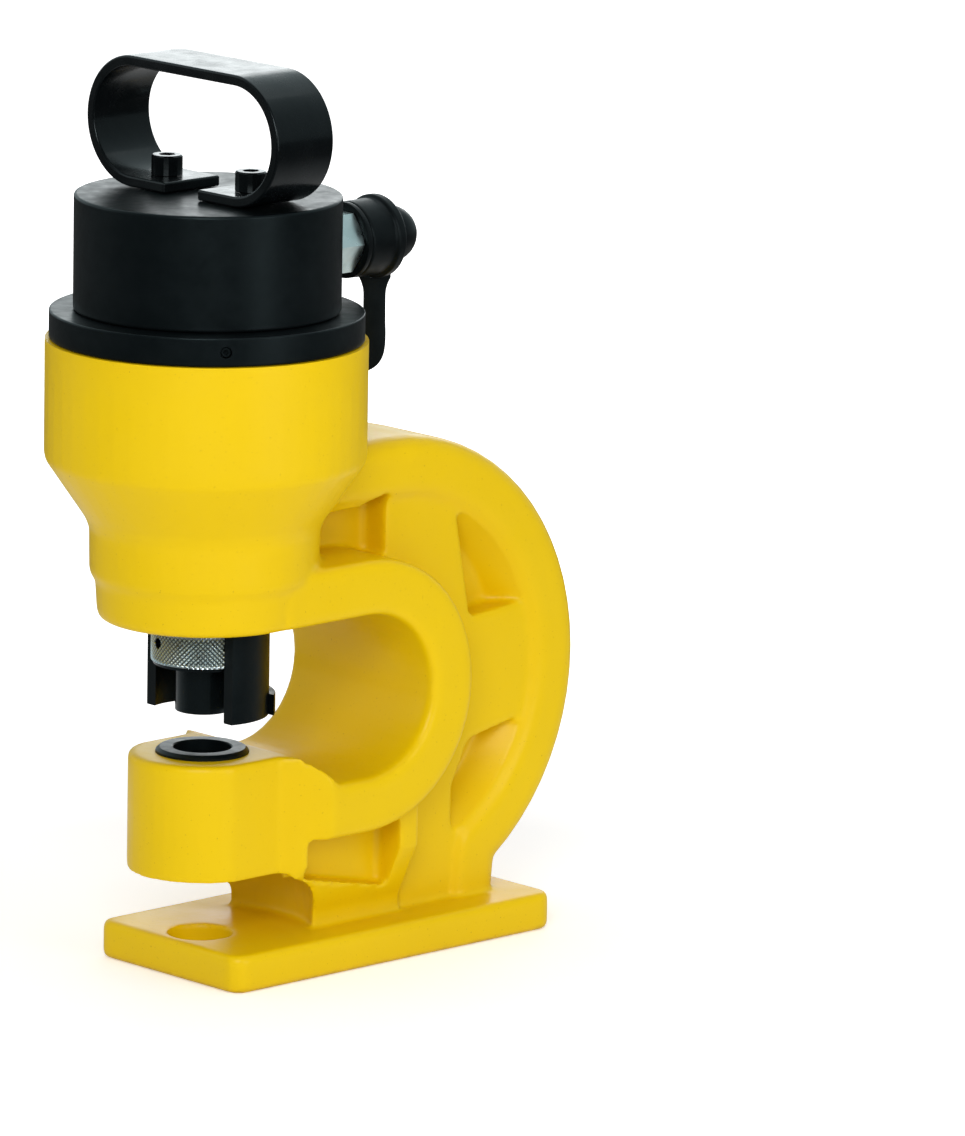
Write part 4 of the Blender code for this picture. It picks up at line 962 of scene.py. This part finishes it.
def rubber_strap():
    """The flat strap that hangs from the cap and comes back up to its ring on the adapter."""
    top = PORT_HEIGHT - CAP_DISC - CAP_CLEARANCE
    low = PORT_HEIGHT - STRAP_DROP
    disc_middle = (CAP_DISC_START + CAP_DISC_END) / 2
    end = Vector((-TETHER_TAB * math.sin(TETHER_TURN), TETHER_START + STRAP_THICKNESS / 2))
    span = end - Vector((0.0, disc_middle))
    route = [(span.length * along, low + (top - low) * lift) for along, lift in STRAP_SHARES]
    route += [(span.length, PORT_HEIGHT - TETHER_TAB * math.cos(TETHER_TURN))]
    route = [(route[0][0], PORT_HEIGHT - CAP_DOME / 2)] + softened(route, 4)
    near, far = [], []
    for i, (x, z) in enumerate(route):
        before, after = route[max(i - 1, 0)], route[min(i + 1, len(route) - 1)]
        length = math.hypot(after[0] - before[0], after[1] - before[1])
        flare = max(0.0, 1.0 - (top - z) / STRAP_FLARE_LENGTH) if i < len(route) / 3 else 0.0
        half = STRAP_WIDTH / 2 / length * (1.0 + STRAP_FLARE * min(1.0, flare) ** 2)
        near.append((x + (before[1] - after[1]) * half, z + (after[0] - before[0]) * half))
        far.append((x - (before[1] - after[1]) * half, z - (after[0] - before[0]) * half))
    shape = bmesh.new()
    rows = []
    for y in (-STRAP_THICKNESS / 2, STRAP_THICKNESS / 2):
        rows.append([[shape.verts.new((x, y, z)) for x, z in line] for line in (near, far)])
    for i in range(len(route) - 1):
        for first, second in ((rows[0][0], rows[0][1]), (rows[0][1], rows[1][1]),
                              (rows[1][1], rows[1][0]), (rows[1][0], rows[0][0])):
            shape.faces.new((first[i], second[i], second[i + 1], first[i + 1]))
    for i in (0, -1):
        shape.faces.new((rows[0][0][i], rows[0][1][i], rows[1][1][i], rows[1][0][i]))
    strap = new_object("rubber_strap", shape, smooth=False)
    ahead = span.normalized()
    strap.data.transform(Matrix((
        (ahead.x, -ahead.y, 0, 0),
        (ahead.y, ahead.x, 0, RAM_Y + disc_middle),
        (0, 0, 1, 0),
        (0, 0, 0, 1),
    )))
    ring = along_back(lathe("tether_ring", [
        (TETHER_OUTER, TETHER_START + STRAP_THICKNESS), (TETHER_OUTER, TETHER_START),
        (TETHER_INNER, TETHER_START), (TETHER_INNER, TETHER_START + STRAP_THICKNESS),
    ], 64, closed=True, smooth=False))
    inner = (TETHER_INNER + TETHER_OUTER) / 2
    tab = slab("tether_tab", (-STRAP_WIDTH / 2, TETHER_START, -TETHER_TAB - STRAP_THICKNESS),
               (STRAP_WIDTH / 2, TETHER_START + STRAP_THICKNESS, -inner))
    tab.data.transform(Matrix.Translation((0.0, RAM_Y, PORT_HEIGHT)) @ Matrix.Rotation(TETHER_TURN, 4, "Y"))
    boolean(strap, ring, "UNION")
    boolean(strap, tab, "UNION")
    baked(strap, "rubber_strap")
    remove(ring, tab)
    cap_room = along_back(lathe("cap_room", [
        (0.0, CAP_TIP), (CAP_DOME + CAP_CLEARANCE, CAP_TIP), (CAP_DOME + CAP_CLEARANCE, CAP_DISC_END + MM),
        (CAP_DISC + CAP_CLEARANCE, CAP_DISC_END), (CAP_DISC + CAP_CLEARANCE, CAP_DISC_START),
        (CAP_SKIRT + CAP_CLEARANCE, CAP_DISC_START - MM), (CAP_SKIRT + CAP_CLEARANCE, CAP_START - MM / 2),
        (0.0, CAP_START - MM / 2),
    ], 96, smooth=False))
    cut_away(strap, cap_room)
    rounded(strap, 0.4 * MM, 2)
    strap.data.shade_smooth()
    strap.data.set_sharp_from_angle(angle=SHARP_ANGLE)
    dress(strap, "black_rubber")
    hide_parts("cap_strap")
    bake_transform(strap)


def knurl_height(turn, rise):
    """0 at the bottom of a groove to 1 on a diamond's top; both arguments count diamonds."""
    first = abs((turn + rise) % 1.0 - 0.5) * 2
    second = abs((turn - rise) % 1.0 - 0.5) * 2
    return min(1.0, 1.45 * (1.0 - max(first, second)))


def knurled_nut():
    """The nut with real diamonds cut round its lower band."""
    radius = (NUT_HIGH[0] - NUT_LOW[0]) / 2
    low = NUT_LOW[2]
    top = NUT_HIGH[2]
    around = KNURL_COUNT * KNURL_SAMPLES
    pitch = 2 * math.pi * radius / KNURL_COUNT
    band_low = low + KNURL_BOTTOM_BAND
    band_top = low + KNURL_TOP
    rows = int((band_top - band_low) / pitch * KNURL_SAMPLES)
    profile = [(NUT_RAM_HOLE, top), (radius - NUT_CHAMFER / 2, top), (radius, top - NUT_CHAMFER / 2),
               (radius, band_top + 0.5 * MM)]
    heights = [band_top + (band_low - band_top) * i / rows for i in range(rows + 1)]
    profile += [(None, height) for height in heights]
    profile += [(radius - KNURL_DEPTH, band_low - 0.3 * MM), (radius - NUT_CHAMFER, low),
                (NUT_PUNCH_HOLE, low), (NUT_PUNCH_HOLE, low + NUT_LIP), (NUT_RAM_HOLE, low + NUT_LIP)]
    shape = bmesh.new()
    rings = []
    for ring_radius, height in profile:
        ring = []
        for i in range(around):
            angle = 2 * math.pi * i / around
            here = ring_radius
            if here is None:
                lift = knurl_height(i / KNURL_SAMPLES, (height - low) / pitch)
                edge = min(1.0, (height - band_low) / pitch + 0.2, (band_top - height) / pitch + 0.2)
                here = radius - KNURL_DEPTH * (1.0 - lift) * edge
            ring.append(shape.verts.new((here * math.cos(angle), RAM_Y + here * math.sin(angle), height)))
        rings.append(ring)
    for upper, lower in zip(rings, rings[1:] + rings[:1]):
        for i in range(around):
            j = (i + 1) % around
            shape.faces.new((upper[i], upper[j], lower[j], lower[i]))
    nut = new_object("knurled_nut", shape)
    cut_away(nut, *tommy_tools(radius, low))
    nut.data.shade_smooth()
    nut.data.set_sharp_from_angle(angle=SHARP_ANGLE)
    dress(nut, "bright_steel")
    for holder in nut.material_slots:
        holder.material = KNURLED
    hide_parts("punch_nut")
    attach(nut, "punch_nut")


def tommy_tools(radius, low):
    """Cutters for the blind holes that a tommy pin fits."""
    tools = []
    for i in range(TOMMY_COUNT):
        angle = TOMMY_TURN + 2 * math.pi * i / TOMMY_COUNT
        tools.append(bar(f"tommy_{i}", TOMMY_RADIUS, radius - TOMMY_DEPTH, radius + OVERRUN, angle,
                         low + TOMMY_HEIGHT, steps=32))
    return tools


def area_light(name, place, target, size, power, color=(1.0, 1.0, 1.0)):
    light = bpy.data.lights.new(name, "AREA")
    light.shape = "RECTANGLE"
    light.size, light.size_y = size
    light.energy = power
    light.color = color
    lamp = link(bpy.data.objects.new(name, light))
    lamp.location = place
    lamp.rotation_euler = (Vector(target) - Vector(place)).to_track_quat("-Z", "Y").to_euler()


def backwards(tree, direction, near, far, low, high):
    """A value that runs from low to high along the level direction away from the camera."""
    dot = tree.nodes.new("ShaderNodeVectorMath")
    dot.operation = "DOT_PRODUCT"
    dot.inputs[1].default_value = (-math.sin(CAMERA_AZIMUTH), math.cos(CAMERA_AZIMUTH), 0.0)
    tree.links.new(direction, dot.inputs[0])
    ranged = tree.nodes.new("ShaderNodeMapRange")
    for name, value in (("From Min", near), ("From Max", far), ("To Min", low), ("To Max", high)):
        ranged.inputs[name].default_value = value
    tree.links.new(dot.outputs["Value"], ranged.inputs["Value"])
    return ranged.outputs["Result"]


def chosen(tree, picked, value, otherwise):
    """One value where a light path output is 1 and another where it is 0."""
    mix = tree.nodes.new("ShaderNodeMix")
    tree.links.new(picked, mix.inputs["Factor"])
    for socket, given in ((mix.inputs["A"], otherwise), (mix.inputs["B"], value)):
        if isinstance(given, float):
            socket.default_value = given
        else:
            tree.links.new(given, socket)
    return mix.outputs["Result"]


def studio():
    """Pale floor, white surroundings that are darker behind the camera in reflections, and soft boxes."""
    world = bpy.data.worlds.new("studio")
    scene.world = world
    world.use_nodes = True
    tree = world.node_tree
    back = tree.nodes["Background"]
    path = tree.nodes.new("ShaderNodeLightPath")
    tint = tree.nodes.new("ShaderNodeMix")
    tint.data_type = "RGBA"
    tint.inputs[6].default_value = (1.0, 1.0, 1.0, 1.0)
    tint.inputs[7].default_value = (0.82, 0.97, 1.0, 1.0)
    tree.links.new(path.outputs["Is Glossy Ray"], tint.inputs["Factor"])
    tree.links.new(tint.outputs[2], back.inputs["Color"])
    around = tree.nodes.new("ShaderNodeTexCoord").outputs["Generated"]
    mirrored = backwards(tree, around, -0.35, 0.55, 0.14, 0.92)
    strength = chosen(tree, path.outputs["Is Glossy Ray"], mirrored, 0.36)
    strength = chosen(tree, path.outputs["Is Transmission Ray"], 1.0, strength)
    strength = chosen(tree, path.outputs["Is Camera Ray"], 1.0, strength)
    tree.links.new(strength, back.inputs["Strength"])
    middle = (0.0, RAM_Y / 2, 0.22)
    area_light("key", (1.42, -1.55, 1.15), middle, (0.9, 0.9), 21.5)
    area_light("side", (2.1, 0.1, 0.65), middle, (0.8, 1.2), 9.2)
    area_light("top", (-0.1, 0.2, 2.0), middle, (1.6, 1.6), 7.0)
    area_light("left", (-1.3, -1.2, 0.9), middle, (0.6, 1.4), 1.5)
    area_light("rear", (-1.4, 1.8, 0.9), middle, (1.2, 1.2), 8.0)
    shape = bmesh.new()
    bmesh.ops.create_grid(shape, x_segments=1, y_segments=1, size=12.0)
    floor = new_object("floor", shape, smooth=False)
    floor.data.materials.append(floor_material())


def floor_material():
    """A matt near-white floor that runs out to white away from the part, and keeps its shadow near it."""
    floor = Shader("pale_floor", (0.80, 0.80, 0.80), 0.9)
    floor.surface.inputs["Specular IOR Level"].default_value = 0.05
    path = floor.node("ShaderNodeLightPath")
    color = floor.mixed(path.outputs["Is Camera Ray"], (0.80, 0.80, 0.80), (1.0, 1.0, 1.0))
    color = floor.mixed(path.outputs["Is Glossy Ray"], color, (0.06, 0.06, 0.06))
    length = floor.node("ShaderNodeVectorMath", operation="LENGTH")
    floor.wire(floor.place, length.inputs[0])
    far = floor.ranged(length.outputs["Value"], FLOOR_NEAR, FLOOR_FAR, 0.32, 1.0)
    mirrored = floor.node("ShaderNodeMath", operation="MULTIPLY")
    floor.wire(backwards(floor.tree, floor.place, -0.35, 0.30, 0.05, 0.75), mirrored.inputs[0])
    floor.wire(floor.ranged(length.outputs["Value"], MIRROR_NEAR, MIRROR_FAR, 1.0, 0.06), mirrored.inputs[1])
    shown = chosen(floor.tree, path.outputs["Is Glossy Ray"], mirrored.outputs["Value"], FLOOR_BOUNCE)
    shown = chosen(floor.tree, path.outputs["Is Camera Ray"], far, shown)
    floor.surface.inputs["Emission Color"].default_value = (1.0, 1.0, 1.0, 1.0)
    floor.wire(shown, floor.surface.inputs["Emission Strength"])
    return floor.finish(color)


def camera():
    data = bpy.data.cameras.new("photo_camera")
    data.sensor_fit = "VERTICAL"
    data.sensor_height = SENSOR_MM
    data.lens = FOCAL_PIXELS / IMAGE_HEIGHT_PIXELS * SENSOR_MM
    data.clip_end = 60.0
    ahead = Vector((
        -math.sin(CAMERA_AZIMUTH) * math.cos(CAMERA_PITCH),
        math.cos(CAMERA_AZIMUTH) * math.cos(CAMERA_PITCH),
        -math.sin(CAMERA_PITCH),
    ))
    level = Vector((math.cos(CAMERA_AZIMUTH), math.sin(CAMERA_AZIMUTH), 0.0))
    above = level.cross(ahead)
    right = level * math.cos(CAMERA_ROLL) + above * math.sin(CAMERA_ROLL)
    up = above * math.cos(CAMERA_ROLL) - level * math.sin(CAMERA_ROLL)
    pose = Matrix((right, up, -ahead)).transposed().to_4x4()
    pose.translation = Vector(CAMERA_PLACE) + Vector((0.0, RAM_Y, 0.0))
    holder = link(bpy.data.objects.new("photo_camera", data))
    holder.matrix_world = pose
    scene.camera = holder


camera()
dress_nodes()
cast_frame()
coil_spring()
head_cap()
collar_ring()
handle_loop()
die_ring()
punch_tool()
stripper_sleeve()
rubber_cap()
hex_adapter()
rubber_strap()
knurled_nut()
studio()
scene.view_settings.view_transform = "Standard"
